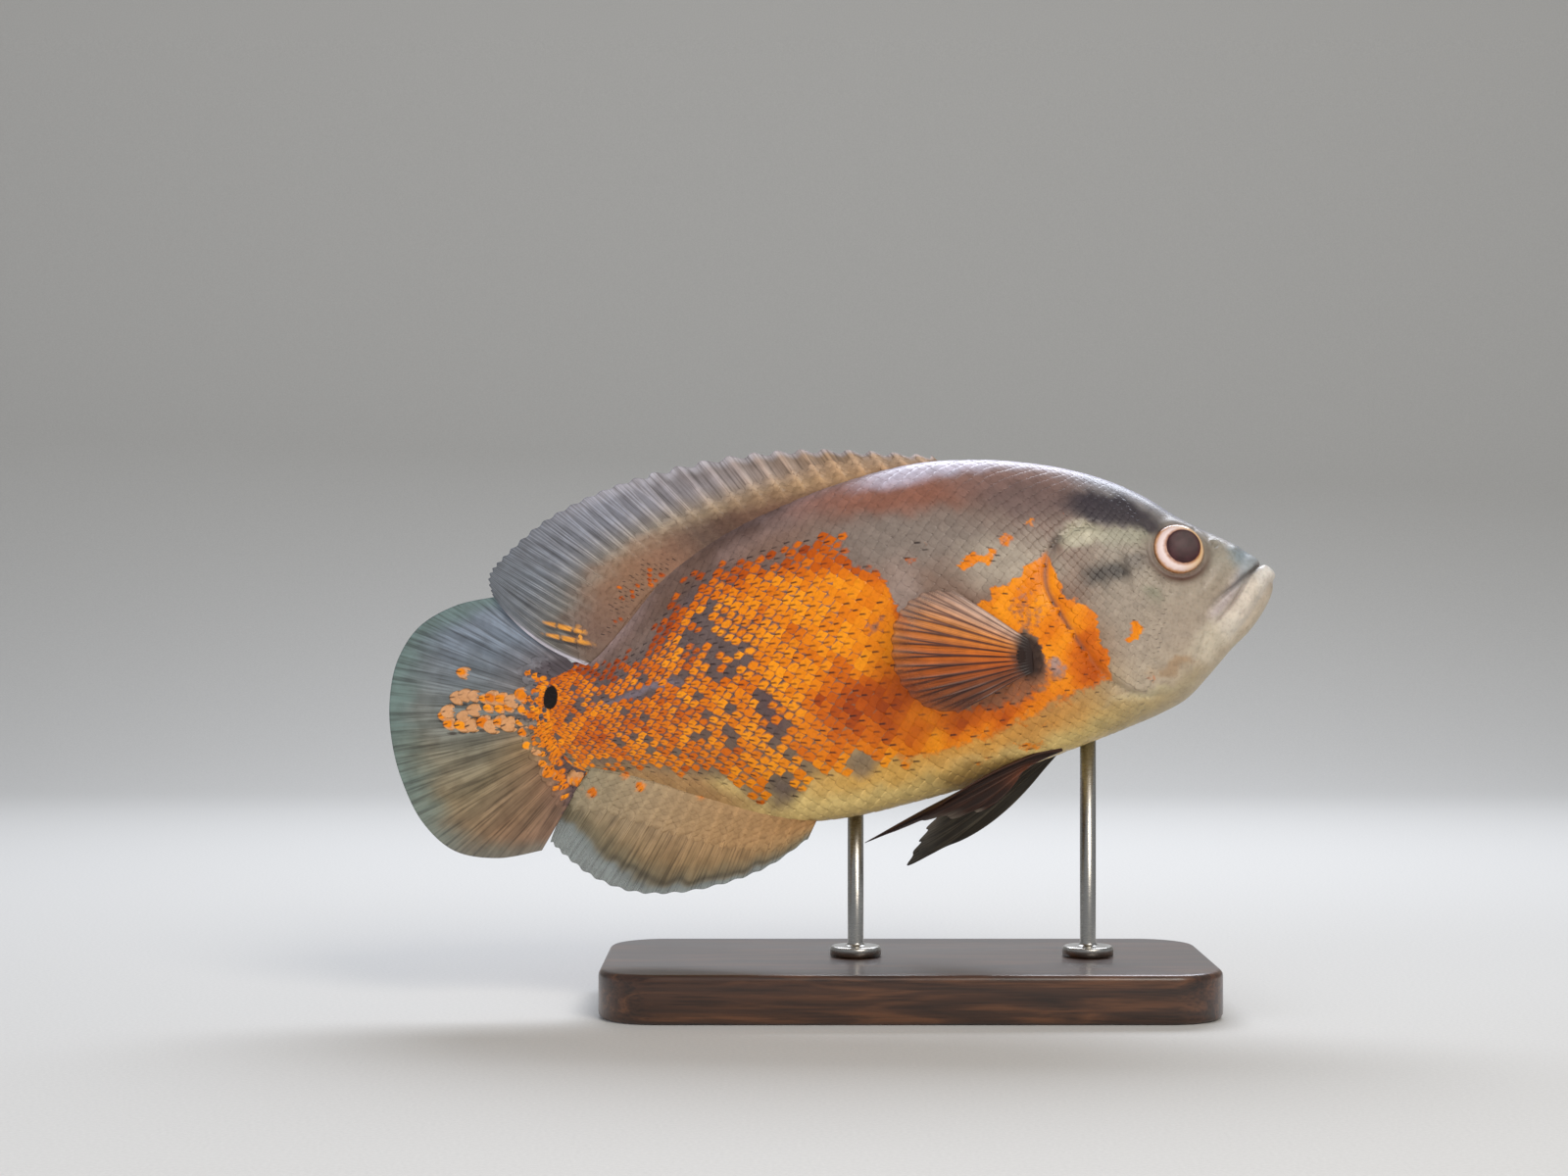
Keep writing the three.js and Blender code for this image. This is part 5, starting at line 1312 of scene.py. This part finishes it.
def dorsal_tint(u, v, ridge, x, z):
    """Brown at the foot, then olive-tan, grey outwards and blue-grey at the rear, with white
    lappets in front, two streaks of orange with a painted shadow below each and a painted highlight
    along the last ray."""
    outer, inner, foot = (by_stops(u, stops) for stops in (DORSAL_OUTER, DORSAL_INNER, DORSAL_FOOT_TONES))
    tone = ribbed(mix(inner, outer, ramp(v, 0.35, 0.75)), ridge, 0.78, 1.35)
    deep = read(DORSAL_FOOT_DEEP, u)
    tone = mix(tone, foot, 0.92 * (1 - ramp(v + 0.05 * wobble(x, z, 9, 51), deep - 0.22, deep + 0.1)))
    tone = mix(tone, LAPPET_WHITE, 0.6 * ramp(v, 0.86, 0.98) * (1 - ramp(u, 0.5, 0.7)))
    # Painted shadow just below each orange streak
    tone = mix(tone, STREAK_SHADE, 0.7 * beaded(x, z + 1.2, DORSAL_STREAKS, 90))
    tone = mix(tone, STREAK_ORANGE, beaded(x, z, DORSAL_STREAKS, STREAK_BEADS))
    # Painted highlight along the last ray
    tone = mix(tone, LAST_RAY_HIGHLIGHT, 0.85 * ramp(u, 0.97, 0.99) * (1 - ramp(v, 0.5, 0.95)))
    return tone, 1 - 0.16 * ramp(v, 0.5, 1)


def sideways(amount):
    """Shift across the fish, to its left."""
    return np.stack([0 * amount, amount, 0 * amount], -1)


def sagged(way, u, v, start):
    """Sag of a fin's last rays along a way, most halfway out, growing from u = start."""
    return way * (4 * v * (1 - v) * ramp(u, start, 1))[..., None]


def facing(sheets, side):
    """Grid, normals and colours of the sheet of a fin that faces one side, from margin to root."""
    middle, half, normal, length, tinted = sheets
    faced = side * np.sign(normal[..., 1].mean())
    sheet = middle + faced * half * normal
    return (np.swapaxes(values, 0, 1)[::-1] for values in (sheet, faced * normal, tinted))


def fin_scales(name, sheets, side, depth_at, kept, orange_of, seed):
    """Scales up the foot of a fin: columns of them from root to margin, a row apart, every other
    one half a pitch on, as far as depth_at(u) millimetres, on the sheet that faces one side, in its
    own colours."""
    grid, normals, tones = facing(sheets, side)
    rows, columns = grid.shape[:2]
    lengths = lengths_along(grid[:, columns // 2])
    along_root = lengths_along(grid[rows // 2])
    step = 2 * SCALE_ROW * FIN_SCALE
    j, k = np.meshgrid(np.arange(1, int(2 * along_root[-1] / step)), np.arange(FOOT_SCALES), indexing="ij")
    column = np.interp(j.ravel() * step / 2, along_root, np.arange(columns))
    out = SCALE_PITCH * FIN_SCALE * (k.ravel() + 0.5 * (j.ravel() % 2)) + 0.4
    long = np.interp(column, np.arange(columns), sheets[3])
    row = (1 - out / long) * (rows - 1)
    at = between(grid, row, column)
    keep = (out < depth_at(column / (columns - 1))) & kept(at[:, 0], at[:, 2])
    row, column = row[keep], column[keep]
    fade = 1 - 0.6 * ramp(out[keep] / depth_at(column / (columns - 1)), 0.5, 1)
    return laid_scales(name, (grid, normals, lengths), (row, column, FIN_SCALE + 0 * row, fade),
                       lambda x, z, row, column: between(tones, row, column), orange_of, seed)


def dorsal_bow(u, v):
    """Waves along the fin that grow with the square of v, and the sag of its last rays."""
    wave = DORSAL_SWAY * v * v * np.sin(2 * math.pi * DORSAL_WAVES * u)
    return sideways(wave) + sagged(DORSAL_SAG, u, v, 0.82)


grey_membrane = membrane("tinted_resin_membrane", 0.4)
last_spine = DORSAL_SPINES - 1
last_ray = last_spine + DORSAL_RAYS - 1
dorsal_phase = np.linspace(0, last_ray, last_ray * 20 + 1)
dorsal_sheets = ray_fin(
    "fin_dorsal", "grey_fin", ("dorsal_fin_spiny", "dorsal_fin_soft"), grey_membrane,
    root=lambda u: onto(DORSAL_ROOT, u), tip=lambda u: onto(DORSAL_TIP, u), rays=last_ray + 1,
    u_of=lambda phase: np.interp(phase, [0, last_spine, last_ray], [0, SPINY_SHARE, 1]),
    tint=dorsal_tint, foot=4.6, reach=0.38, ray=1.0,
    lappet=np.interp(dorsal_phase, [last_spine, last_spine + 2], [SPINY_LAPPET, SOFT_LAPPET]),
    forks=(last_spine + 0.5, 0.3, 0.55), per_ray=20, rows=60, ray_width=0.14, bow=dorsal_bow)
crest = skin_grid[:, -1][:, [0, 2]]


def dorsal_flecks(x, z):
    """Sparse reddish orange inside one oval of the foot."""
    return 0.4 * spot(x, z, DORSAL_FLECKS, 0.3, 1.3), 0.7 + 0 * x


for seed, (side, side_name) in enumerate(SIDES, 21):
    dorsal_scales = fin_scales(
        f"coat_dorsal_{side_name}", dorsal_sheets, side, lambda u: read(DORSAL_FOOT, u),
        lambda x, z: z > read(crest, x) - 5, dorsal_flecks, seed)
    placed(dorsal_scales, "grey_fin")


# Anal fin
# Eighteen forking rays on a deep scaled foot. It is tan, with a dark line inside its clear
# blue-grey margin and a few orange dots on the foot.
ANAL_ROOT = [[-12, -48], [-30, -45], [-48, -38], [-64, -30], [-81, -23]]
ANAL_TIP = [
    [-19, -57.6], [-32, -63.6], [-46, -66.4], [-62, -66.6], [-76, -63.6], [-87, -57], [-94.4, -49],
    [-98.2, -43.6]]
ANAL_RAYS = 18
ANAL_SWAY = -1.8
ANAL_SAG = np.array([-2.0, 0.8, -0.4])  # of the last rays, back behind the tail fin
ANAL_DOTS = [(-82.4, -30.8), (-71, -27.3), (-67.2, -32.1), (-58.9, -29.6), (-52, -31.5), (-48.6, -38.1)]
ANAL_FOOT = 12  # depth of its scales
ANAL_TONES = [(0, "#A67C4E"), (0.4, "#A9875E"), (0.75, "#A08B6C"), (1, "#8A8068")]
ANAL_OUTER, ANAL_DARK, ANAL_LINE, ANAL_CLEAR = "#8A7350", "#6C6753", "#454238", "#77827F"
ANAL_DOT = "#E8862A"
ANAL_MARGIN = [(0, 0.92), (0.5, 0.9), (0.8, 0.74), (1, 0.6)]  # v at which it starts, by u


def anal_tint(u, v, ridge, x, z):
    """Tan, browner in front, a dark line near the margin and grey-green beyond it, orange dots."""
    tone = mix(by_stops(u, ANAL_TONES), ANAL_OUTER, 0.7 * ramp(v, 0.4, 0.75))
    tone = ribbed(tone, ridge, 0.93, 1.1)
    past = v - (read(ANAL_MARGIN, u) + 0.03 * wobble(x, z, 9, 55))
    tone = mix(tone, ANAL_DARK, 0.7 * ramp(past, -0.25, -0.04))
    tone = mix(tone, ANAL_LINE, 0.6 * bell(past + 0.03, 0.035) * window(u, 0.02, 0.2, 0.6, 0.9))
    tone = mix(tone, ANAL_CLEAR, 0.85 * ramp(past, -0.02, 0.07))
    for dot in ANAL_DOTS:
        tone = mix(tone, ANAL_DOT, 0.9 * (1 - ramp(apart(dot, x, z), 1.0, 1.7)))
    return tone, 1 - 0.35 * ramp(past, -0.1, 0.12)


def anal_bow(u, v):
    """One wave along the fin that grows with the square of v, and the sag of its last rays."""
    return sideways(ANAL_SWAY * v * v * np.sin(2 * math.pi * u)) + sagged(ANAL_SAG, u, v, 0.8)


anal_sheets = ray_fin(
    "fin_anal", "grey_fin", ("anal_fin",), grey_membrane, root=lambda u: onto(ANAL_ROOT, u),
    tip=lambda u: onto(ANAL_TIP, u), rays=ANAL_RAYS, tint=anal_tint, foot=6.6, reach=0.55, ray=1.05,
    lappet=0.6, forks=(0, 0.35, 0.62), per_ray=24, rows=56, ray_width=0.15, bow=anal_bow)
keel = skin_grid[:, 0][:, [0, 2]]


def anal_dots(x, z):
    """Orange on the scales that lie within 1.5 mm of a dot."""
    nearest = np.min([apart(dot, x, z) for dot in ANAL_DOTS], axis=0)
    return 0.9 * (nearest < 1.5), 0.35 + 0 * x


for seed, (side, side_name) in enumerate(SIDES, 31):
    anal_scales = fin_scales(
        f"coat_anal_{side_name}", anal_sheets, side, lambda u: ANAL_FOOT + 0 * u,
        lambda x, z: z < read(keel, x) + 5, anal_dots, seed)
    placed(anal_scales, "grey_fin")


# Tail fin
# A rounded fan of fifteen rays that fork three times on the way to the margin. The upper half
# is blue-grey, the lower tan, and scales run out over its root and in beads along the middle.
TAIL_RAYS = 15
TAIL_SWAY = 3
TAIL_ROOT = [[-81, 9.6], [-87.5, 1], [-88.5, -7], [-87.5, -15], [-82.5, -23.4]]
TAIL_TIP = [
    [-101.5, 36], [-115, 35.6], [-127.5, 31], [-136, 21.6], [-140.4, 9.6], [-141.75, -3], [-140.6, -16],
    [-136.4, -30], [-128, -40.8], [-115, -45.6], [-101, -45.8]]
# Rows of beads: x and z of the first and last, and how many
BEAD_ROWS = [
    ((-98.5, 2), (-121, 6.2), 8), ((-101, -1.2), (-125, 1.6), 8), ((-101, -4.8), (-122.8, -2.8), 8),
    ((-101, -8.6), (-95.4, -20.2), 5), ((-92.5, -22.4), (-85.6, -25.3), 3)]
LONE_BEAD = (-117.4, 14)
BEAD_SIZE = 0.78
BEAD_ROOT = [2.6, 0]  # from the bead's middle to the scale's root
BEAD_PEACH = "#CE9460"
# Painted shadow just below each bead on the tail
BEAD_SHADE = "#332722"
TAIL_FOOT = 13  # depth of the scales over its root
TAIL_TOP = 12.6  # z where they end
TAIL_OUTER = [
    (0, "#7F8A98"), (0.2, "#727C87"), (0.42, "#747976"), (0.55, "#7A7767"), (0.68, "#85775C"),
    (0.85, "#84694F"), (1, "#7E6250")]
TAIL_INNER = [(0, "#6C676C"), (0.45, "#75706C"), (0.6, "#8C7350"), (0.85, "#8A674E"), (1, "#865F52")]
TAIL_MARGIN_HIGH, TAIL_MARGIN_LOW, TAIL_ROOT_DARK = "#6C857E", "#6F6E5E", "#4A4044"


def tail_root_orange(x, z):
    """Orange inside a ragged edge that bulges out along the middle of the tail."""
    edge = -96.5 + 3.2 * wobble(z, z, 5, 66) - 3 * bell(z + 4, 7) + 0.16 * np.abs(z + 5)
    return ramp(x - edge, -1.0, 1.5) * ramp(TAIL_TOP - z, -1.0, 1.5), 0.3 + 0 * x


def tail_tint(u, v, ridge, x, z):
    """Blue-grey over tan with fine pale rays, a grey-green clear margin and a painted shadow just
    below each bead."""
    outer, inner = by_stops(u + 0.02 * wobble(x, z, 24, 61), TAIL_OUTER), by_stops(u, TAIL_INNER)
    tone = ribbed(mix(inner, outer, ramp(v, 0.15, 0.55)), ridge, 0.82, 1.22)
    margin = mix(colour(TAIL_MARGIN_HIGH), TAIL_MARGIN_LOW, ramp(u, 0.6, 0.95))
    tone = mix(tone, margin, 0.75 * ramp(v + 0.04 * wobble(x, z, 14, 62), 0.76, 1))
    tone = mix(tone, TAIL_ROOT_DARK, 0.75 * tail_root_orange(x, z)[0])
    for first, last, count in BEAD_ROWS[:3]:
        for at_x, at_z in np.linspace(first, last, count):
            # Painted shadow just below the bead
            shade = spot(x, z, (at_x + 0.3, at_z - 1.7, 1.6, 0.6, -12), 0.6, 1.2)
            tone = mix(tone, BEAD_SHADE, 0.75 * shade)
    return tone, 1 - 0.22 * ramp(v, 0.72, 1)


tail_sheets = ray_fin(
    "fin_tail", "grey_fin", ("tail_fin",), grey_membrane, root=lambda u: onto(TAIL_ROOT, u),
    tip=lambda u: onto(TAIL_TIP, u), rays=TAIL_RAYS, tint=tail_tint, foot=4.2, reach=0.3, ray=0.95,
    lappet=0.0, forks=(0, 0.22, 0.42, 0.64), per_ray=38, rows=78, ray_width=0.18,
    bow=lambda u, v: sideways(TAIL_SWAY * v * v * np.cos(math.pi * u)))


def bead_scales(name, sheets, side, seed):
    """Single scales on the tail's membrane along the rows of beads, each found on the sheet as
    the point nearest to its place in the side view."""
    grid, normals, tones = facing(sheets, side)
    lengths = lengths_along(grid[:, grid.shape[1] // 2])
    draw = np.random.default_rng(seed)
    lines = [np.linspace(first, last, count) for first, last, count in BEAD_ROWS]
    places = np.concatenate(lines + [[LONE_BEAD]])
    places = places + draw.normal(0, 0.6, places.shape) + BEAD_ROOT
    gap = apart(places.T[..., None, None], grid[..., 0], grid[..., 2])
    row, column = np.unravel_index(gap.reshape(len(places), -1).argmin(1), grid.shape[:2])
    size = BEAD_SIZE * draw.uniform(0.75, 1.1, len(places))
    roots = row.astype(float), column.astype(float), size, 1 + 0 * size
    return laid_scales(name, (grid, normals, lengths), roots,
                       lambda x, z, row, column: mix(between(tones, row, column), BEAD_PEACH, 0.85 + 0 * x),
                       lambda x, z: (0.85 - 0.3 * ramp(-x, 102, 122), 0.2 + 0 * x), seed)


for seed, (side, side_name) in enumerate(SIDES, 41):
    root_scales = fin_scales(
        f"coat_tail_{side_name}", tail_sheets, side, lambda u: TAIL_FOOT + 0 * u,
        lambda x, z: (x < -88.5) & (tail_root_orange(x, z)[0] > 0.2), tail_root_orange, seed)
    placed(root_scales, "flank_skin")
    placed(bead_scales(f"beads_tail_{side_name}", tail_sheets, side, seed + 5), "grey_fin")


# Pectoral fins
# A fan of fourteen rays behind each gill cover, held off the flank on a short fleshy lobe. The
# rays are dark with clear orange between them, and the lobe is nearly black.
PECTORAL_AT = (58.6, -16)
PECTORAL_SUNK = 1.5
PECTORAL_ROOT_HALF = 4.6
PECTORAL_ROOT_UP = np.array([0.15, 0, 1])  # the way its root line leans
PECTORAL_RAYS = 14
PECTORAL_SPLAY = math.radians(28)
PECTORAL_CUP = 5
PECTORAL_ANGLES = [47, -25]
PECTORAL_LENGTHS = [33, 40, 45, 48, 48.5, 48, 45, 40, 32]
LOBE_LONG, LOBE_HIGH, LOBE_THICK = 4.0, 5.6, 1.5
LOBE_BACK = 2.4  # of its middle from the fin's root
LOBE_UP = np.array([0.12, 0, 1])
LOBE_DARK, LOBE_GLINT = "#2C1E1A", "#7C665F"
PECTORAL_WEB = [
    (0, "#D8BBAA"), (0.16, "#DFB092"), (0.3, "#DC8C40"), (0.5, "#D26E18"), (0.68, "#B3591C"),
    (0.82, "#7E4526"), (1, "#6E402A")]
PECTORAL_RAY_TONES = [(0, "#A48B7E"), (0.25, "#714636"), (0.5, "#4A1F12"), (0.8, "#3A1A10"), (1, "#402015")]
PECTORAL_MARGIN, PECTORAL_FOOT = "#6B4A40", "#2C1C17"


def pectoral_tint(u, v, ridge, x, z):
    """Dark rays over orange, pinkish grey at the top, brown and duller below."""
    web, rays = by_stops(u, PECTORAL_WEB), by_stops(u, PECTORAL_RAY_TONES)
    tone = mix(web, rays, np.clip(1.3 * ridge, 0, 1) * ramp(v, 0.05, 0.2))
    tone = mix(tone, PECTORAL_MARGIN, 0.4 * ramp(v, 0.75, 1))
    tone = mix(tone, PECTORAL_FOOT, 1 - ramp(v + 0.02 * wobble(x, z, 4, 71), 0.08, 0.2))
    return tone, (1 - 0.3 * ramp(v, 0.25, 1) * (1 - 0.6 * ridge)) * (1 - 0.5 * ramp(v, 0.8, 1))


def lobe(name, middle, backward, side, material):
    """Flattened egg over the fin's root: rings of a circle stacked from pole to pole, stretched to
    its length, height and thickness, painted dark with a painted highlight, a pale glint, at its front
    upper edge."""
    turn = full_turn(48)
    pole_up, pole_out = half_turn(26)
    ahead, up = pole_out[:, None] * np.cos(turn), pole_out[:, None] * np.sin(turn)
    out = pole_up[:, None] + 0 * turn
    outward = np.array([backward[1] * side, -backward[0] * side, 0.0])
    rings = (middle - backward * (LOBE_LONG * ahead)[..., None] + LOBE_UP * (LOBE_HIGH * up)[..., None]
             + outward * (LOBE_THICK * out)[..., None])
    piece = stacked_rings(name, on_stand(rings), material)
    # Painted highlight at the lobe's front upper edge
    glint = bell(apart((0.68, 0.6), ahead, up), 0.26)
    tone = mix(colour(LOBE_DARK), LOBE_GLINT, 0.5 * glint).reshape(-1, 3)
    paint(piece, "tint", np.concatenate([tone, tone[:1], tone[-1:]]))
    flat = np.stack([ahead, up], -1).reshape(-1, 2)
    unwrap(piece, "FinMap", np.concatenate([flat, [[0, 0], [0, 0]]]))
    return piece


rust_membrane = membrane("tinted_resin_membrane_rust", 0.42)
lobe_skin = membrane("painted_resin_lobe_matt", 0.8, 0.0)
for side, side_name in SIDES:
    stem_at = skin_at(*PECTORAL_AT, side, -PECTORAL_SUNK)
    backward = np.array([-math.cos(PECTORAL_SPLAY), side * math.sin(PECTORAL_SPLAY), 0])

    def pectoral_root(u, stem_at=stem_at):
        """Points down the root line, nearly upright on the flank."""
        return stem_at + PECTORAL_ROOT_UP * (PECTORAL_ROOT_HALF * (1 - 2 * u))[:, None]

    def pectoral_tip(u, stem_at=stem_at, backward=backward):
        """Ends of the rays: their lengths, fanned out by their angles."""
        angle = np.radians(np.interp(u, [0, 1], PECTORAL_ANGLES))
        length = along(PECTORAL_LENGTHS, u * (len(PECTORAL_LENGTHS) - 1))
        return (stem_at + backward * (length * np.cos(angle))[:, None]
                + np.array([0, 0, 1]) * (length * np.sin(angle))[:, None])

    ray_fin(f"fin_pectoral_{side_name}", "rust_fin", (f"pectoral_fin_{side_name}",), rust_membrane,
            root=pectoral_root, tip=pectoral_tip, rays=PECTORAL_RAYS, tint=pectoral_tint, foot=3,
            reach=0.22, ray=1.0, lappet=0.8, forks=(0, 0.55), crowd=1.15, per_ray=20, rows=64,
            ray_width=0.15, bow=lambda u, v, side=side: sideways(-side * PECTORAL_CUP * v * v))
    lobe_at = stem_at + backward * LOBE_BACK + [0, -side * 0.2, 0.2]
    root_lobe = lobe(f"pectoral_lobe_{side_name}", lobe_at, backward, side, lobe_skin)
    placed(root_lobe, "rust_fin")


# Pelvic fins
# A spine and five rays each, the first ray drawn out to a thread, folded back under the belly.
# They are almost black, the right one rusty at its base and the left one olive.
PELVIC_AT = np.array([57.8, 5.2, -45.2])
PELVIC_ROOT_LENGTH = 11.5
PELVIC_ROOT_WAY = np.array([-1, -0.2, -0.2])
PELVIC_TIPS = {
    "right": [
        [22, 19, -56], [-1.8, 21, -62.6], [9, 19, -60.6], [18, 16, -59.2], [26, 13, -60.2],
        [34, 10, -59.5]],
    "left": [
        [28, 17, -66.5], [10.7, 20, -71], [13, 18.5, -67], [15.5, 17, -64], [18.5, 14.5, -60.5],
        [22, 11.5, -57.5]],
}
PELVIC_BULGE = {"right": (2, -3), "left": (-3.5, 0)}  # how far first and last ray bow upwards
PELVIC_REAR = "#857C70"  # its rear edge
PELVIC_TINTS = {"right": ("#2A1307", "#7A4020"), "left": ("#3A352C", "#4E463A")}  # fin and its base


def pelvic_tint(web, base):
    """Nearly black with slightly paler rays, its base and rear edge lighter."""
    def tinted(u, v, ridge, x, z):
        tone = ribbed(np.broadcast_to(colour(web), x.shape + (3,)), ridge, 0.75, 1.7)
        tone = mix(tone, base, 0.7 * (1 - ramp(v, 0.1, 0.5)) * ramp(u, 0.2, 0.8))
        tone = mix(tone, PELVIC_REAR, 0.6 * ramp(v, 0.8, 1) * ramp(u, 0.3, 1))
        return tone, 1 - 0.12 * ramp(v, 0.6, 1)
    return tinted


dark_membrane = membrane("tinted_resin_membrane_dark", 0.6, 0.04)
for side, side_name in SIDES:
    tips = np.array(PELVIC_TIPS[side_name], float)
    bulge = PELVIC_BULGE[side_name]

    def pelvic_root(u, side=side):
        """Points along a short line on the belly."""
        return (PELVIC_AT + PELVIC_ROOT_WAY * (PELVIC_ROOT_LENGTH * (u - 0.5))[:, None]) * [1, side, 1]

    def pelvic_tip(u, side=side, tips=tips):
        """Curve through the tips of the rays."""
        return along(tips, u * (len(tips) - 1)) * [1, side, 1]

    def pelvic_bow(u, v, bulge=bulge):
        """Rays bowed upwards, most halfway out."""
        lift = 4 * v * (1 - v) * (bulge[0] + (bulge[1] - bulge[0]) * u)
        return np.stack([0 * v, 0 * v, lift], -1)

    ray_fin(f"fin_pelvic_{side_name}", "dark_fin", (f"pelvic_fin_{side_name}",), dark_membrane,
            root=pelvic_root, tip=pelvic_tip, rays=len(tips), tint=pelvic_tint(*PELVIC_TINTS[side_name]),
            foot=3.4, reach=0.2, ray=1.1, lappet=2.0, forks=(0.5, 0.4, 0.65), per_ray=30, rows=64,
            ray_width=0.14, bow=pelvic_bow)


# Studio
# A pale floor that curves up into the backdrop, soft lamps over and in front of the fish, and
# the camera level with it on its right side.
FLOOR_HALF = 3.0
FLOOR_FRONT, FLOOR_BACK, CURVE_RADIUS, WALL_TOP = -2.5, 0.9, 0.6, 3.0
LAMPS = [  # name, place, target, width, height, watts, colour
    ("tank_lamp", (0.05, 0.7, 0.85), (0.0, 0.0, 0.1), 1.0, 0.4, 12, "#EEF3FF"),
    ("key_lamp", (0.45, -0.95, 0.95), (0.0, 0.0, 0.11), 0.6, 0.6, 8, "#FFF6EA"),
    ("low_lamp", (0.25, -1.1, 0.12), (0.0, 0.0, 0.08), 0.8, 0.2, 3.5, "#FFF8F0"),
    ("fill_lamp", (-0.9, -0.8, 0.35), (0.0, 0.0, 0.11), 0.9, 0.9, 7, "#F2F5FF"),
]
SHINING = ("tank_lamp", "key_lamp")  # the others only soften the shadows
SKY, SKY_STRENGTH = "#E4E8EE", 0.38
CAMERA_AT = (-0.0385, -0.900, 0.1306)
CAMERA_LENS, CAMERA_SENSOR = 65.75, 36.0


def studio_paper():
    """Matt pale paper with a trace of tooth, so it takes soft shadows without shine."""
    paper = empty_material("studio_paper_matt")
    place = add(paper, "TexCoord").outputs["Object"]
    tooth = add(paper, "TexNoise", {"Vector": place, "Scale": 900.0, "Detail": 2.0})
    tone = ramp_node(paper, tooth, [(0.3, "#C6C5C1"), (0.7, "#CDCCC8")])
    shader = add(paper, "BsdfPrincipled", {"Base Color": tone, "Roughness": 0.9})
    return shown_by(paper, shader)


turn = np.linspace(0, math.pi / 2, 24)
wall_y = FLOOR_BACK + CURVE_RADIUS
sweep_y = np.concatenate([[FLOOR_FRONT], FLOOR_BACK + CURVE_RADIUS * np.sin(turn), [wall_y]])
sweep_z = np.concatenate([[0], CURVE_RADIUS * (1 - np.cos(turn)), [WALL_TOP]])
edges = np.array([-FLOOR_HALF, FLOOR_HALF])
sweep = np.stack(np.broadcast_arrays(edges[:, None], sweep_y, sweep_z), -1).reshape(-1, 3)
count = len(sweep_y)
strip = np.arange(count - 1)
backdrop_mesh = bpy.data.meshes.new("backdrop")
strip_faces = np.stack([strip, strip + count, strip + count + 1, strip + 1], -1)
backdrop_mesh.from_pydata(sweep.tolist(), [], strip_faces.tolist())
backdrop_mesh.polygons.foreach_set("use_smooth", np.ones(len(backdrop_mesh.polygons), bool))
backdrop_mesh.materials.append(studio_paper())
put("backdrop", backdrop_mesh)


def aimed(place, target):
    """Turns about x and z that point a lamp, which looks down, from place to target."""
    direction = np.array(target) - place
    flat = math.hypot(direction[0], direction[1])
    return (math.atan2(flat, -direction[2]), 0, math.atan2(direction[1], direction[0]) - math.pi / 2)


for lamp_name, place, target, width, height, watts, code in LAMPS:
    light = bpy.data.lights.new(lamp_name, "AREA")
    light.shape, light.size, light.size_y = "RECTANGLE", width, height
    light.energy, light.color = watts, colour(code)
    lamp = put(lamp_name, light)
    lamp.location, lamp.rotation_euler = place, aimed(place, target)
    lamp.visible_glossy = lamp_name in SHINING

world = bpy.data.worlds.new("studio_air")
world.use_nodes = True
sky = world.node_tree.nodes["Background"]
sky.inputs["Color"].default_value = rgba(SKY)
sky.inputs["Strength"].default_value = SKY_STRENGTH
bpy.context.scene.world = world

camera_data = bpy.data.cameras.new("camera")
camera_data.lens, camera_data.sensor_width = CAMERA_LENS, CAMERA_SENSOR
camera = put("camera", camera_data)
camera.location, camera.rotation_euler = CAMERA_AT, (math.pi / 2, 0, 0)
bpy.context.scene.camera = camera
bpy.context.scene.view_settings.view_transform = "Standard"
